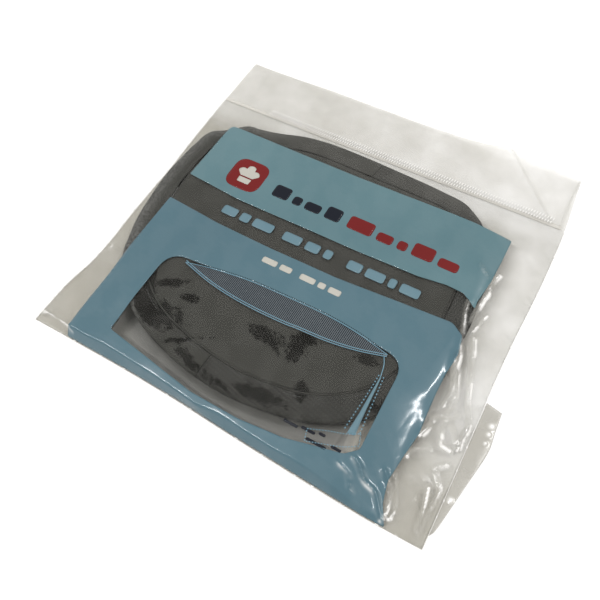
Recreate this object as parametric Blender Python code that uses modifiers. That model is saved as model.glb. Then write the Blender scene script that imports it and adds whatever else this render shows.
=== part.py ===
"""Chef's vented beanie, laid flat and sealed in a printed press-to-close film pouch.

The pouch lies on its back. +Y runs up the pouch to its mouth, +X to its right-hand edge, and
z = 0 is the underside of the back film. The origin is the middle of the 240 x 240 mm pouch.

The hat lies in the pouch crown up. Its oval vent crown is spread flat and its side band turns
under at the outline, so the hem is the inner edge of the lower layer. The front of the hat
points to -X, and the open notch at the back, with its hook-and-loop strap, points to +X.
"""

import math

import bmesh
import bpy
from mathutils import Matrix

MM = 0.001

# Pouch
POUCH_HALF = 120 * MM
FILM = 0.4 * MM
GAP = 0.3 * MM
WELD_INNER = 118.2 * MM
WELD_WIDTH = 1.0 * MM
WELD_HEIGHT = 0.6 * MM

# Press-to-close strip across the mouth, and the front lip that folds up from it
ZIP_Y = 80 * MM
GROOVE_TOP_Z = 1.6 * MM
GROOVE_HALF_WIDTH = 1.3 * MM
GROOVE_RADIUS = 0.65 * MM
RIB_RADIUS = 0.35 * MM
RIB_Z = 1.4 * MM
LIP_FOLD_Y = 77.9 * MM
LIP_Z = (2.0 * MM, 2.4 * MM)

# Front film: flat over the hat, then curving down to the welds
FILM_EDGE_Z = 1.0 * MM
FILM_TOP_Z = 11.1 * MM
FILM_HALF_X = 117.3 * MM
FILM_LOW_Y = -117.3 * MM
FILM_HIGH_Y = 77.1 * MM
FILM_SHOULDER = 4.0 * MM
FILM_FALL_POWER = 2.4
FILM_CELL = 8.0 * MM
FILM_EDGE_BANDS = (3.0 * MM, 7.0 * MM, 12.0 * MM, 18.0 * MM)

# Printed ink blocks on the front film
INK = 0.2 * MM
INK_LEFT = -95.0 * MM
INK_RIGHT = 96.5 * MM
INK_TOP = 51.0 * MM
BAND_TOP = 2.0 * MM
BAND_BOTTOM = -19.5 * MM
INK_LOW = -115.6 * MM
WINDOW_X = (-72.0 * MM, 75.5 * MM)
WINDOW_Y = (-108.0 * MM, -52.0 * MM)

# Loose film tab at the lower right-hand edge
TAB_AXIS_X = 120.4 * MM
TAB_AXIS_Z = FILM / 2
TAB_OUTLINE = [(120.8, -43.5), (129.0, -45.2), (130.2, -68.4), (122.8, -108.4), (120.8, -116.0)]

# Hat outline: a rounded oblong above its centre line and an ellipse below it
HAT_X = -8.5 * MM
HAT_Y = -20.0 * MM
HAT_HALF_X = 103.5 * MM
HAT_HALF_Y = 88.0 * MM
UPPER_POWER = 3.2
LOWER_POWER = 2.1

# Hat fabric layers, as heights of their middle surfaces
CLOTH = 0.8 * MM
BAND_TOP_Z = 9.9 * MM
BAND_SHOULDER_Z = 9.5 * MM
BAND_UNDER_Z = 4.8 * MM
BAND_START_INSET = 13.2 * MM
BAND_ROLL_INSET = 5.2 * MM
HEM_INSET = 60.0 * MM
CROWN_INSET = 15.8 * MM
CROWN_Z = (9.4 * MM, 10.2 * MM)
PIPING_INSET = 14.5 * MM
PIPING_Z = 9.9 * MM
PIPING_RADIUS = 0.9 * MM
LINING_Z = (5.5 * MM, 6.0 * MM)
TAPE_Z = (5.5 * MM, 5.8 * MM)
TAPE_HALF_WIDTH = 4.0 * MM
TAPE_INSET = (9.0 * MM, 58.0 * MM)
SWEATBAND_INSET = (30.0 * MM, 59.0 * MM)
NOTCH_HALF_WIDTH = (1.0 * MM, 5.0 * MM)
BINDING_WIDTH = 3.5 * MM
BINDING_INSET = (14.0 * MM, 58.0 * MM)
STRAP_X = (40.0 * MM, 56.0 * MM)
STRAP_Y = (-48.0 * MM, 12.0 * MM)
STRAP_Z = (2.6 * MM, 3.0 * MM)
HOOK_Y = (-46.0 * MM, -26.0 * MM)
HOOK_Z = (3.3 * MM, 3.55 * MM)
LOOP_Y = (-78.0 * MM, -28.0 * MM)
LOOP_Z = (3.85 * MM, 4.1 * MM)
PATCH_MARGIN = 1.0 * MM
LABEL_INSET = (12.0 * MM, 26.0 * MM)
LABEL_HALF_WIDTH = 15.0 * MM
BAND_COLUMNS = 12

# The wearer's right and left sides of the hat, by the sign of y from its centre line
SIDES = {1: "right", -1: "left"}

COLLECTION = "chef_beanie_in_pouch"
CUTTERS = "cutters"


def clear_scene():
    for obj in list(bpy.data.objects):
        bpy.data.objects.remove(obj, do_unlink=True)


def collection(name):
    made = bpy.data.collections.new(name)
    bpy.context.scene.collection.children.link(made)
    return made


def material(name, colour, roughness, metallic=0.0, alpha=1.0):
    made = bpy.data.materials.new(name)
    made.use_nodes = True
    shader = made.node_tree.nodes["Principled BSDF"]
    shader.inputs["Base Color"].default_value = (*colour, 1.0)
    shader.inputs["Roughness"].default_value = roughness
    shader.inputs["Metallic"].default_value = metallic
    shader.inputs["Alpha"].default_value = alpha
    made.diffuse_color = (*colour, alpha)
    return made


def place(name, data, finish, parent=None):
    """Links a mesh or curve to the part's collection as one named object."""
    obj = bpy.data.objects.new(name, data)
    bpy.data.collections[COLLECTION].objects.link(obj)
    data.materials.append(finish)
    obj.parent = parent
    if parent is not None:
        obj.matrix_parent_inverse = parent.matrix_world.inverted()
    return obj


def joint_empty(name, location):
    """An empty on a joint's axis. The pieces that move with the joint are its children."""
    empty = bpy.data.objects.new(name, None)
    empty.location = location
    bpy.data.collections[COLLECTION].objects.link(empty)
    bpy.context.view_layer.update()
    return empty


def box(name, x, y, z, finish, parent=None, bevel=0.0):
    """A box between pairs of x, y and z, with optional rounded edges."""
    mesh = bpy.data.meshes.new(name)
    shape = bmesh.new()
    bmesh.ops.create_cube(shape, size=1.0)
    size = (x[1] - x[0], y[1] - y[0], z[1] - z[0])
    bmesh.ops.scale(shape, vec=size, verts=shape.verts)
    shape.to_mesh(mesh)
    shape.free()
    obj = place(name, mesh, finish)
    obj.location = ((x[0] + x[1]) / 2, (y[0] + y[1]) / 2, (z[0] + z[1]) / 2)
    if parent is not None:
        obj.parent = parent
        obj.matrix_parent_inverse = parent.matrix_world.inverted()
    if bevel:
        rounding = obj.modifiers.new("rounding", "BEVEL")
        rounding.width = bevel
        rounding.segments = 2
        rounding.limit_method = "ANGLE"
    return obj


def flat_piece(name, outline, z, finish, parent=None):
    """A flat outline in plan, as thick as the pair of heights z."""
    curve = bpy.data.curves.new(name, "CURVE")
    curve.dimensions = "2D"
    curve.fill_mode = "BOTH"
    curve.extrude = (z[1] - z[0]) / 2
    spline = curve.splines.new("POLY")
    spline.points.add(len(outline) - 1)
    for point, (x, y) in zip(spline.points, outline):
        point.co = (x, y, 0.0, 1.0)
    spline.use_cyclic_u = True
    obj = place(name, curve, finish)
    obj.location.z = (z[0] + z[1]) / 2
    if parent is not None:
        obj.parent = parent
        obj.matrix_parent_inverse = parent.matrix_world.inverted()
    return obj


def power(value, exponent):
    return math.copysign(abs(value) ** exponent, value)


def hat_point(angle, inset):
    """The plan point of the hat's outline at an angle in degrees, taken in by inset."""
    cosine, sine = math.cos(math.radians(angle)), math.sin(math.radians(angle))
    exponent = 2 / (UPPER_POWER if sine > 0 else LOWER_POWER)
    x = HAT_X + (HAT_HALF_X - inset) * power(cosine, exponent)
    y = HAT_Y + (HAT_HALF_Y - inset) * power(sine, exponent)
    return x, y


def hat_reach(dx, dy, inset):
    """How far the outline, taken in by inset, lies from the hat's centre towards (dx, dy)."""
    exponent = UPPER_POWER if dy > 0 else LOWER_POWER
    span = math.hypot(dx, dy)
    across = abs(dx / span) / (HAT_HALF_X - inset)
    along = abs(dy / span) / (HAT_HALF_Y - inset)
    return (across**exponent + along**exponent) ** (-1 / exponent)


def film_height(x, y):
    """Height of the front film's underside. Along a ray from the hat's centre it is flat to the
    shoulder, and then falls to the weld as a power of the share of the way there."""
    dx, dy = x - HAT_X, y - HAT_Y
    span = math.hypot(dx, dy)
    if span < HAT_HALF_Y / 2:
        return FILM_TOP_Z
    shoulder = hat_reach(dx, dy, FILM_SHOULDER)
    side = ((FILM_HALF_X if dx > 0 else -FILM_HALF_X) - HAT_X) / dx if dx else math.inf
    end = ((FILM_HIGH_Y if dy > 0 else FILM_LOW_Y) - HAT_Y) / dy if dy else math.inf
    weld = min(side, end) * span
    share = min(max((span - shoulder) / (weld - shoulder), 0.0), 1.0)
    return FILM_TOP_Z - (FILM_TOP_Z - FILM_EDGE_Z) * share**FILM_FALL_POWER


def grid_lines(low, high, edges):
    """Positions from low to high that include every edge, with equal cells between edges."""
    bands = [low + band for band in FILM_EDGE_BANDS] + [high - band for band in FILM_EDGE_BANDS]
    stops = sorted({low, high, *bands, *edges})
    lines = [low]
    for start, end in zip(stops, stops[1:]):
        cells = max(1, round((end - start) / FILM_CELL))
        lines += [start + (end - start) * cell / cells for cell in range(1, cells + 1)]
    return lines


def film_skin(name, x, y, lift, thickness, finish, hole=None):
    """A skin that follows the front film, lifted off its underside. Every skin uses the film's
    own grid, so their facets are parallel. hole is a pair of ranges that stay open."""
    lines_x = grid_lines(-FILM_HALF_X, FILM_HALF_X, (INK_LEFT, INK_RIGHT, *WINDOW_X))
    lines_y = grid_lines(
        FILM_LOW_Y, FILM_HIGH_Y, (INK_LOW, *WINDOW_Y, BAND_BOTTOM, BAND_TOP, INK_TOP)
    )
    mesh = bpy.data.meshes.new(name)
    shape = bmesh.new()
    bmesh.ops.create_grid(shape, x_segments=len(lines_x) - 1, y_segments=len(lines_y) - 1, size=0.5)
    for vert in shape.verts:
        column = round((vert.co.x + 0.5) * (len(lines_x) - 1))
        row = round((vert.co.y + 0.5) * (len(lines_y) - 1))
        vert.co.x, vert.co.y = lines_x[column], lines_y[row]
        vert.co.z = film_height(vert.co.x, vert.co.y)
    unwanted = []
    for face in shape.faces:
        centre = face.calc_center_median()
        kept = x[0] < centre.x < x[1] and y[0] < centre.y < y[1]
        if hole and hole[0][0] < centre.x < hole[0][1] and hole[1][0] < centre.y < hole[1][1]:
            kept = False
        if not kept:
            unwanted.append(face)
    bmesh.ops.delete(shape, geom=unwanted, context="FACES")
    shape.to_mesh(mesh)
    shape.free()
    obj = place(name, mesh, finish)
    if lift:
        raised = obj.modifiers.new("lift", "DISPLACE")
        raised.strength = lift
        raised.mid_level = 0.0
    wall = obj.modifiers.new("wall", "SOLIDIFY")
    wall.thickness = thickness
    wall.offset = 1.0
    mesh.shade_smooth()
    return obj


def band_section():
    """The side band's section as (inset, height) points: the top flange beside the piping, the
    half-round roll at the outline, and the flat layer that turns under as far as the hem."""
    middle = (BAND_SHOULDER_Z + BAND_UNDER_Z) / 2
    half = (BAND_SHOULDER_Z - BAND_UNDER_Z) / 2
    points = [(BAND_START_INSET, BAND_TOP_Z)]
    steps = 6
    for step in range(steps + 1):
        turn = math.pi * step / steps
        inset = BAND_ROLL_INSET * (1 - math.sin(turn))
        points.append((inset, middle + half * math.cos(turn)))
    points += [(HEM_INSET * share, BAND_UNDER_Z) for share in (0.3, 0.65, 1.0)]
    return points


def notch_half_width(inset):
    """Half the width of the V notch at the back, from its tip at the shoulder to the hem."""
    share = min(max((inset - BAND_ROLL_INSET) / (HEM_INSET - BAND_ROLL_INSET), 0.0), 1.0)
    return NOTCH_HALF_WIDTH[0] + share * (NOTCH_HALF_WIDTH[1] - NOTCH_HALF_WIDTH[0])


def notch_angle(inset, side, clearance=0.0):
    """The angle where the outline at this inset comes within a clearance of the notch's edge.
    side is 1 for the edge nearer the pouch's mouth and -1 for the other."""
    exponent = UPPER_POWER if side > 0 else LOWER_POWER
    width = notch_half_width(inset) + clearance
    rise = (width / (HAT_HALF_Y - inset)) ** (exponent / 2)
    return side * math.degrees(math.asin(rise))


def seam_angle(inset, side, clearance):
    """The angle of the outline a clearance to the right of the side seam on this side."""
    exponent = UPPER_POWER if side > 0 else LOWER_POWER
    run = (clearance / (HAT_HALF_X - inset)) ** (exponent / 2)
    return side * math.degrees(math.acos(run))


def band_panel(name, columns, ends, finish, parent):
    """A panel of the side band, lofted round the outline. ends(inset) gives its two angles."""
    mesh = bpy.data.meshes.new(name)
    section = band_section()
    points, faces = [], []
    for column in range(columns + 1):
        for inset, height in section:
            start, end = ends(inset)
            angle = start + (end - start) * column / columns
            points.append((*hat_point(angle, inset), height))
    rows = len(section)
    for column in range(columns):
        for row in range(rows - 1):
            corner = column * rows + row
            faces.append((corner, corner + 1, corner + rows + 1, corner + rows))
    mesh.from_pydata(points, [], faces)
    shape = bmesh.new()
    shape.from_mesh(mesh)
    bmesh.ops.recalc_face_normals(shape, faces=shape.faces)
    shape.to_mesh(mesh)
    shape.free()
    obj = place(name, mesh, finish, parent)
    wall = obj.modifiers.new("cloth", "SOLIDIFY")
    wall.thickness = CLOTH
    wall.offset = 0.0
    mesh.shade_smooth()
    return obj


def ring_sector(insets, ends, steps):
    """The plan outline of a flat piece between two insets and two pairs of angles."""
    outer = [(insets[0], step / steps) for step in range(steps + 1)]
    inner = [(insets[1], step / steps) for step in reversed(range(steps + 1))]
    outline = []
    for inset, share in outer + inner:
        start, end = ends(inset)
        outline.append(hat_point(start + (end - start) * share, inset))
    return outline


def make_pouch(finish):
    """The films, welds and press-to-close strip. Returns nothing; each piece is its own node."""
    half = POUCH_HALF
    box("back_film", (-half, half), (-half, half), (0, FILM), finish["film"])
    film_skin(
        "front_film",
        (-FILM_HALF_X, FILM_HALF_X),
        (FILM_LOW_Y, FILM_HIGH_Y),
        0.0,
        FILM,
        finish["film"],
    )
    weld_z = (FILM + GAP, FILM + GAP + WELD_HEIGHT)
    outer = WELD_INNER + WELD_WIDTH
    weld_y = (-WELD_INNER + GAP, FILM_HIGH_Y)
    box("side_weld_left", (-outer, -WELD_INNER), weld_y, weld_z, finish["weld"])
    box("side_weld_right", (WELD_INNER, outer), weld_y, weld_z, finish["weld"])
    box("bottom_weld", (-outer, outer), (-outer, -WELD_INNER), weld_z, finish["weld"])
    make_press_strip(finish)
    make_front_lip(finish)
    make_side_tab(finish)


def rod_mesh(name, radius, length, segments):
    """A closed round rod along X, centred on its own origin."""
    mesh = bpy.data.meshes.new(name)
    shape = bmesh.new()
    turn = Matrix.Rotation(math.pi / 2, 4, "Y")
    bmesh.ops.create_cone(
        shape,
        cap_ends=True,
        segments=segments,
        radius1=radius,
        radius2=radius,
        depth=length,
        matrix=turn,
    )
    shape.to_mesh(mesh)
    shape.free()
    return mesh


def make_press_strip(finish):
    """The groove half of the press-to-close strip: a bar with a round channel along its top."""
    half = WELD_INNER + WELD_WIDTH
    span_y = (ZIP_Y - GROOVE_HALF_WIDTH, ZIP_Y + GROOVE_HALF_WIDTH)
    bar_z = (FILM + GAP, GROOVE_TOP_Z)
    groove = box("zip_groove", (-half, half), span_y, bar_z, finish["weld"])
    mesh = rod_mesh("groove_cutter", GROOVE_RADIUS, 2 * half + 10 * MM, 16)
    cutter = bpy.data.objects.new("groove_cutter", mesh)
    cutter.location = (0, ZIP_Y, GROOVE_TOP_Z)
    cutter.hide_render = True
    cutter.display_type = "WIRE"
    bpy.data.collections[CUTTERS].objects.link(cutter)
    cut = groove.modifiers.new("channel", "BOOLEAN")
    cut.operation = "DIFFERENCE"
    cut.object = cutter


def make_front_lip(finish):
    """The front lip and the rib that presses into the groove. Both swing about the fold."""
    axis = joint_empty("front_lip_axis", (0, LIP_FOLD_Y, LIP_Z[0]))
    half = WELD_INNER + WELD_WIDTH
    rib = place("zip_rib", rod_mesh("zip_rib", RIB_RADIUS, 2 * half, 12), finish["weld"])
    rib.location = (0, ZIP_Y, RIB_Z)
    rib.parent = axis
    rib.matrix_parent_inverse = axis.matrix_world.inverted()
    lip_y = (LIP_FOLD_Y + GAP, POUCH_HALF)
    box("front_lip", (-POUCH_HALF, POUCH_HALF), lip_y, LIP_Z, finish["film"], axis)


def make_side_tab(finish):
    """The loose tab of film beside the right-hand weld, with its hinge empty on the crease."""
    axis = joint_empty("side_tab_axis", (TAB_AXIS_X, -80 * MM, TAB_AXIS_Z))
    outline = [(x * MM, y * MM) for x, y in TAB_OUTLINE]
    flat_piece("side_tab", outline, (0, FILM), finish["film"], axis)


def make_print(finish):
    """The two blocks of ink on the front film, with the clear band and the window between."""
    lift = FILM + GAP
    film_skin(
        "print_upper_block",
        (INK_LEFT, INK_RIGHT),
        (BAND_TOP, INK_TOP),
        lift,
        INK,
        finish["ink"],
    )
    film_skin(
        "print_lower_block",
        (INK_LEFT, INK_RIGHT),
        (INK_LOW, BAND_BOTTOM),
        lift,
        INK,
        finish["ink"],
        hole=(WINDOW_X, WINDOW_Y),
    )


def make_crown(finish, hat):
    """The vent panel, and the piping in the seam round it."""
    steps = 56
    outline = [hat_point(360 * step / steps, CROWN_INSET) for step in range(steps)]
    flat_piece("crown_vent_panel", outline, CROWN_Z, finish["vent"], hat)
    curve = bpy.data.curves.new("crown_piping", "CURVE")
    curve.dimensions = "3D"
    curve.bevel_depth = PIPING_RADIUS
    curve.bevel_resolution = 1
    spline = curve.splines.new("POLY")
    spline.points.add(steps - 1)
    for step, point in enumerate(spline.points):
        point.co = (*hat_point(360 * step / steps, PIPING_INSET), PIPING_Z, 1.0)
    spline.use_cyclic_u = True
    place("crown_piping", curve, finish["twill"], hat)


def make_side_band(finish, hat):
    """The front panel and the two back panels of the side band, which the notch parts."""

    def front_ends(inset):
        return 180 - seam_angle(inset, 1, GAP / 2), 180 - seam_angle(inset, -1, GAP / 2)

    band_panel("side_band_front", 2 * BAND_COLUMNS, front_ends, finish["twill"], hat)
    for side, name in SIDES.items():

        def back_ends(inset, side=side):
            return seam_angle(inset, side, GAP / 2), notch_angle(inset, side)

        band_panel(f"side_band_back_{name}", BAND_COLUMNS, back_ends, finish["twill"], hat)


def make_linings(finish, hat):
    """Sweatband pieces, seam tapes, notch bindings and the care label, inside the hat."""

    def front_ends(inset):
        clear = TAPE_HALF_WIDTH + GAP
        return 180 - seam_angle(inset, 1, clear), 180 - seam_angle(inset, -1, clear)

    outline = ring_sector(SWEATBAND_INSET, front_ends, 2 * BAND_COLUMNS)
    flat_piece("sweatband_front", outline, LINING_Z, finish["sweatband"], hat)
    for side, name in SIDES.items():

        def back_ends(inset, side=side):
            clear = BINDING_WIDTH + GAP
            return seam_angle(inset, side, TAPE_HALF_WIDTH + GAP), notch_angle(inset, side, clear)

        outline = ring_sector(SWEATBAND_INSET, back_ends, BAND_COLUMNS)
        flat_piece(f"sweatband_back_{name}", outline, LINING_Z, finish["sweatband"], hat)
        span = sorted(HAT_Y + side * (HAT_HALF_Y - inset) for inset in TAPE_INSET)
        seam_x = (HAT_X - TAPE_HALF_WIDTH, HAT_X + TAPE_HALF_WIDTH)
        box(f"side_seam_tape_{name}", seam_x, span, TAPE_Z, finish["twill"], hat)
        right = HAT_X + HAT_HALF_X
        edge = []
        for inset in BINDING_INSET:
            edge.append((right - inset, HAT_Y + side * notch_half_width(inset)))
        back = [(x, y + side * BINDING_WIDTH) for x, y in reversed(edge)]
        flat_piece(f"notch_binding_{name}", edge + back, TAPE_Z, finish["twill"], hat)
    left = HAT_X - HAT_HALF_X
    label_x = tuple(left + inset for inset in LABEL_INSET)
    label_y = (HAT_Y - LABEL_HALF_WIDTH, HAT_Y + LABEL_HALF_WIDTH)
    box("care_label", label_x, label_y, TAPE_Z, finish["label"], hat)


def make_closure(finish, hat):
    """The loop patch on the band, and the strap that carries the hook patch along it."""
    patch_x = (STRAP_X[0] + PATCH_MARGIN, STRAP_X[1] - PATCH_MARGIN)
    box("loop_patch", patch_x, LOOP_Y, LOOP_Z, finish["loop"], hat)
    middle = [(low + high) / 2 for low, high in (STRAP_X, STRAP_Y, STRAP_Z)]
    axis = joint_empty("closure_strap_axis", middle)
    axis.parent = hat
    axis.matrix_parent_inverse = hat.matrix_world.inverted()
    bpy.context.view_layer.update()
    box("hook_patch", patch_x, HOOK_Y, HOOK_Z, finish["hook"], axis)
    box("closure_strap", STRAP_X, STRAP_Y, STRAP_Z, finish["strap"], axis)


def finishes():
    """The part's materials by name, in linear colours."""
    return {
        "film": material("clear_film", (0.72, 0.70, 0.66), 0.12, alpha=0.35),
        "weld": material("welded_film", (0.80, 0.79, 0.75), 0.30, alpha=0.6),
        "ink": material("blue_ink", (0.115, 0.215, 0.265), 0.35),
        "twill": material("black_twill", (0.020, 0.020, 0.019), 0.85),
        "vent": material("black_vent_mesh", (0.016, 0.016, 0.016), 0.80),
        "sweatband": material("black_sweatband", (0.024, 0.024, 0.023), 0.90),
        "label": material("white_label", (0.78, 0.77, 0.74), 0.70),
        "loop": material("black_loop_tape", (0.012, 0.012, 0.012), 0.95),
        "hook": material("black_hook_tape", (0.018, 0.018, 0.018), 0.60),
        "strap": material("black_strap_webbing", (0.022, 0.022, 0.021), 0.75),
    }


def main():
    clear_scene()
    collection(COLLECTION)
    collection(CUTTERS)
    finish = finishes()
    make_pouch(finish)
    make_print(finish)
    hat = joint_empty("hat_slide_origin", (HAT_X, HAT_Y, 0))
    make_crown(finish, hat)
    make_side_band(finish, hat)
    make_linings(finish, hat)
    make_closure(finish, hat)


main()
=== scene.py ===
"""The looks of a vented chef's beanie packed flat in a printed, clear film pouch.

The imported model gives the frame. Each sub-assembly is a class that builds its meshes from numpy
grids, dresses them with a finish and says which body they ride on. Sizes are in metres.
"""

import logging
import math
from collections.abc import Iterable, Sequence
from dataclasses import dataclass, field
from enum import Enum

import bmesh
import bpy
import numpy as np
from mathutils import Matrix, Vector
from mathutils.geometry import delaunay_2d_cdt


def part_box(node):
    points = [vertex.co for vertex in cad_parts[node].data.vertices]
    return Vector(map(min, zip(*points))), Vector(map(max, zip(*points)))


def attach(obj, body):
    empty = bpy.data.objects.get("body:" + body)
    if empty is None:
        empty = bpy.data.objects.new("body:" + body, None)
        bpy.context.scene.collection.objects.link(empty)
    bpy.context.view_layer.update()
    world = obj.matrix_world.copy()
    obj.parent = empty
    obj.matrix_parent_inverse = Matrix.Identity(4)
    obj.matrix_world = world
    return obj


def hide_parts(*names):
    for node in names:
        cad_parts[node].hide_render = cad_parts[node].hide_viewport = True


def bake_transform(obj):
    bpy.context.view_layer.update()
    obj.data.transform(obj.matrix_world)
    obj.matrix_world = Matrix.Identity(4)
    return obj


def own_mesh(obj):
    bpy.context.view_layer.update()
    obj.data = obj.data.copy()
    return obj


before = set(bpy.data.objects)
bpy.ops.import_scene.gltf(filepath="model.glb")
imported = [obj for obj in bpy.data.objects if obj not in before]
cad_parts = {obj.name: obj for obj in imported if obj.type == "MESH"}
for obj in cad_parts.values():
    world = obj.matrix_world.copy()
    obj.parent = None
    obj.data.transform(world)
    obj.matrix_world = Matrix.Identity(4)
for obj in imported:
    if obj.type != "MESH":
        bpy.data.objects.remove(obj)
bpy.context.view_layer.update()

MM = 0.001
LOG = logging.getLogger("packed_beanie")

Array = np.ndarray
Plan = Sequence[tuple[float, float]]
Colour = tuple[float, float, float]
Piece = bpy.types.Object
Socket = bpy.types.NodeSocket
Material = bpy.types.Material


class Body(Enum):
    """The frame's bodies that pieces ride on."""

    POUCH = "pouch"
    LIP = "mouth_lip"
    TAB = "loose_tab"
    HAT = "hat"
    CLOSURE = "closure"


# ---------------------------------------------------------------------------------------------
# Curves and fields in plan


def smooth_step(value: Array, low: float, high: float) -> Array:
    """A cubic step from 0 at low to 1 at high.

    Args:
        value: where to read the step.
        low: the value at which it leaves 0.
        high: the value at which it reaches 1.

    Returns:
        The step, 3t^2 - 2t^3 of the clamped share t.
    """
    share = np.clip((value - low) / (high - low), 0.0, 1.0)
    return share * share * (3.0 - 2.0 * share)


def spline(points: Plan, closed: bool, steps: int) -> Array:
    """A Catmull-Rom curve through points, with even steps between each pair.

    Args:
        points: the points it passes through.
        closed: whether it returns to the first point.
        steps: steps between neighbouring points.

    Returns:
        An array of points, one row each. An open curve keeps its last point.
    """
    knots = np.asarray(points, float)
    if closed:
        padded = np.vstack([knots[-1], knots, knots[0], knots[1]])
    else:
        padded = np.vstack([2 * knots[0] - knots[1], knots, 2 * knots[-1] - knots[-2]])
    before, start, end, after = padded[:-3], padded[1:-2], padded[2:-1], padded[3:]
    t = (np.arange(steps) / steps)[None, :, None]
    before, start, end, after = (side[:, None, :] for side in (before, start, end, after))
    curve = 0.5 * (
        2 * start
        + (end - before) * t
        + (2 * before - 5 * start + 4 * end - after) * t**2
        + (3 * start - before - 3 * end + after) * t**3
    )
    curve = curve.reshape(-1, knots.shape[1])
    return curve if closed else np.vstack([curve, knots[-1]])


def evenly(path: Array, count: int, closed: bool = False) -> Array:
    """A path read again at equal distances along it.

    Args:
        path: points along the path.
        count: how many points come back.
        closed: whether the last point joins the first.

    Returns:
        The new points. A closed path leaves out its repeated first point.
    """
    line = np.vstack([path, path[:1]]) if closed else path
    along = np.concatenate([[0.0], np.cumsum(np.linalg.norm(np.diff(line, axis=0), axis=1))])
    wanted = np.linspace(0.0, along[-1], count, endpoint=not closed)
    return np.stack([np.interp(wanted, along, line[:, axis]) for axis in range(line.shape[1])], 1)


def distance_to_path(x: Array, y: Array, path: Array) -> Array:
    """The distance in plan from each point to the nearest stretch of a path.

    Args:
        x: positions across.
        y: positions along.
        path: points along the path, one row each.

    Returns:
        The distances.
    """
    nearest = np.full(x.shape, np.inf)
    for start, end in zip(path[:-1], path[1:]):
        run = end - start
        share = ((x - start[0]) * run[0] + (y - start[1]) * run[1]) / max(run @ run, 1e-18)
        share = np.clip(share, 0.0, 1.0)
        across = np.hypot(x - start[0] - share * run[0], y - start[1] - share * run[1])
        nearest = np.minimum(nearest, across)
    return nearest


def inside_loops(x: Array, y: Array, loops: Iterable[Array]) -> Array:
    """Whether each point lies in an odd number of closed loops, by counting crossings.

    Args:
        x: positions across.
        y: positions along.
        loops: closed outlines, without a repeated first point.

    Returns:
        True for each point inside.
    """
    inside = np.zeros(x.shape, bool)
    for loop in loops:
        following = np.roll(loop, -1, axis=0)
        for start, end in zip(loop, following):
            spans = (start[1] > y) != (end[1] > y)
            rise = end[1] - start[1]
            if rise:
                crossing = start[0] + (y - start[1]) * (end[0] - start[0]) / rise
                inside ^= spans & (x < crossing)
    return inside


def ripples(x: Array, y: Array, length: float, seed: int, waves: int = 9) -> Array:
    """Gentle random relief, the sum of sine waves in seeded directions.

    Args:
        x: positions across.
        y: positions along.
        length: the typical wavelength.
        seed: the seed of the directions, phases and lengths.
        waves: how many waves are summed.

    Returns:
        Relief of about unit size.
    """
    draw = np.random.default_rng(seed)
    total = np.zeros(np.broadcast(x, y).shape)
    for _ in range(waves):
        turn, phase = draw.uniform(0, 2 * math.pi, 2)
        stretch = draw.uniform(0.7, 1.5) * length
        total += np.sin((x * math.cos(turn) + y * math.sin(turn)) * 2 * math.pi / stretch + phase)
    return total / math.sqrt(waves)


def facets(x: Array, y: Array, length: float, seed: int, folds: int = 7) -> Array:
    """Crumpled relief with sharp folds, the sum of triangular waves in seeded directions.

    Args:
        x: positions across.
        y: positions along.
        length: the typical distance from fold to fold.
        seed: the seed of the directions, phases and lengths.
        folds: how many waves are summed.

    Returns:
        Relief of about unit size, with creases where each wave turns.
    """
    draw = np.random.default_rng(seed)
    total = np.zeros(np.broadcast(x, y).shape)
    for _ in range(folds):
        turn, phase = draw.uniform(0, 2 * math.pi), draw.uniform(0, 2)
        stretch = draw.uniform(0.6, 1.7) * length
        bend = 0.25 * np.sin((x * math.sin(turn) - y * math.cos(turn)) * 2.1 / stretch + phase)
        wave = (x * math.cos(turn) + y * math.sin(turn)) / stretch + phase + bend
        total += 2 * np.abs(wave % 2.0 - 1.0) - 1.0
    return total / math.sqrt(folds)


# ---------------------------------------------------------------------------------------------
# Meshes


def make_object(name: str, points: Array, faces: Array | list, smooth: bool = True) -> Piece:
    """An object at the origin from points and faces.

    Args:
        name: the piece's name.
        points: its points in the frame, one row each.
        faces: rows of point numbers.
        smooth: whether its faces are shaded smooth.

    Returns:
        The linked object.
    """
    mesh = bpy.data.meshes.new(name)
    mesh.from_pydata(np.asarray(points).tolist(), [], np.asarray(faces).tolist())
    mesh.update()
    if smooth:
        mesh.shade_smooth()
    obj = bpy.data.objects.new(name, mesh)
    bpy.context.scene.collection.objects.link(obj)
    return obj


def grid_faces(rows: int, columns: int, wrap_rows: bool = False, wrap_columns: bool = False) -> Array:
    """Four-sided faces over a grid of points, numbered row by row.

    Args:
        rows: rows of points.
        columns: points in a row.
        wrap_rows: whether the last row joins the first.
        wrap_columns: whether the last column joins the first.

    Returns:
        Four point numbers a face.
    """
    row = np.arange(rows if wrap_rows else rows - 1)
    column = np.arange(columns if wrap_columns else columns - 1)
    row, column = (side.ravel() for side in np.meshgrid(row, column, indexing="ij"))
    next_row, next_column = (row + 1) % rows, (column + 1) % columns
    corners = (
        row * columns + column,
        row * columns + next_column,
        next_row * columns + next_column,
        next_row * columns + column,
    )
    return np.stack(corners, 1)


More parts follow.
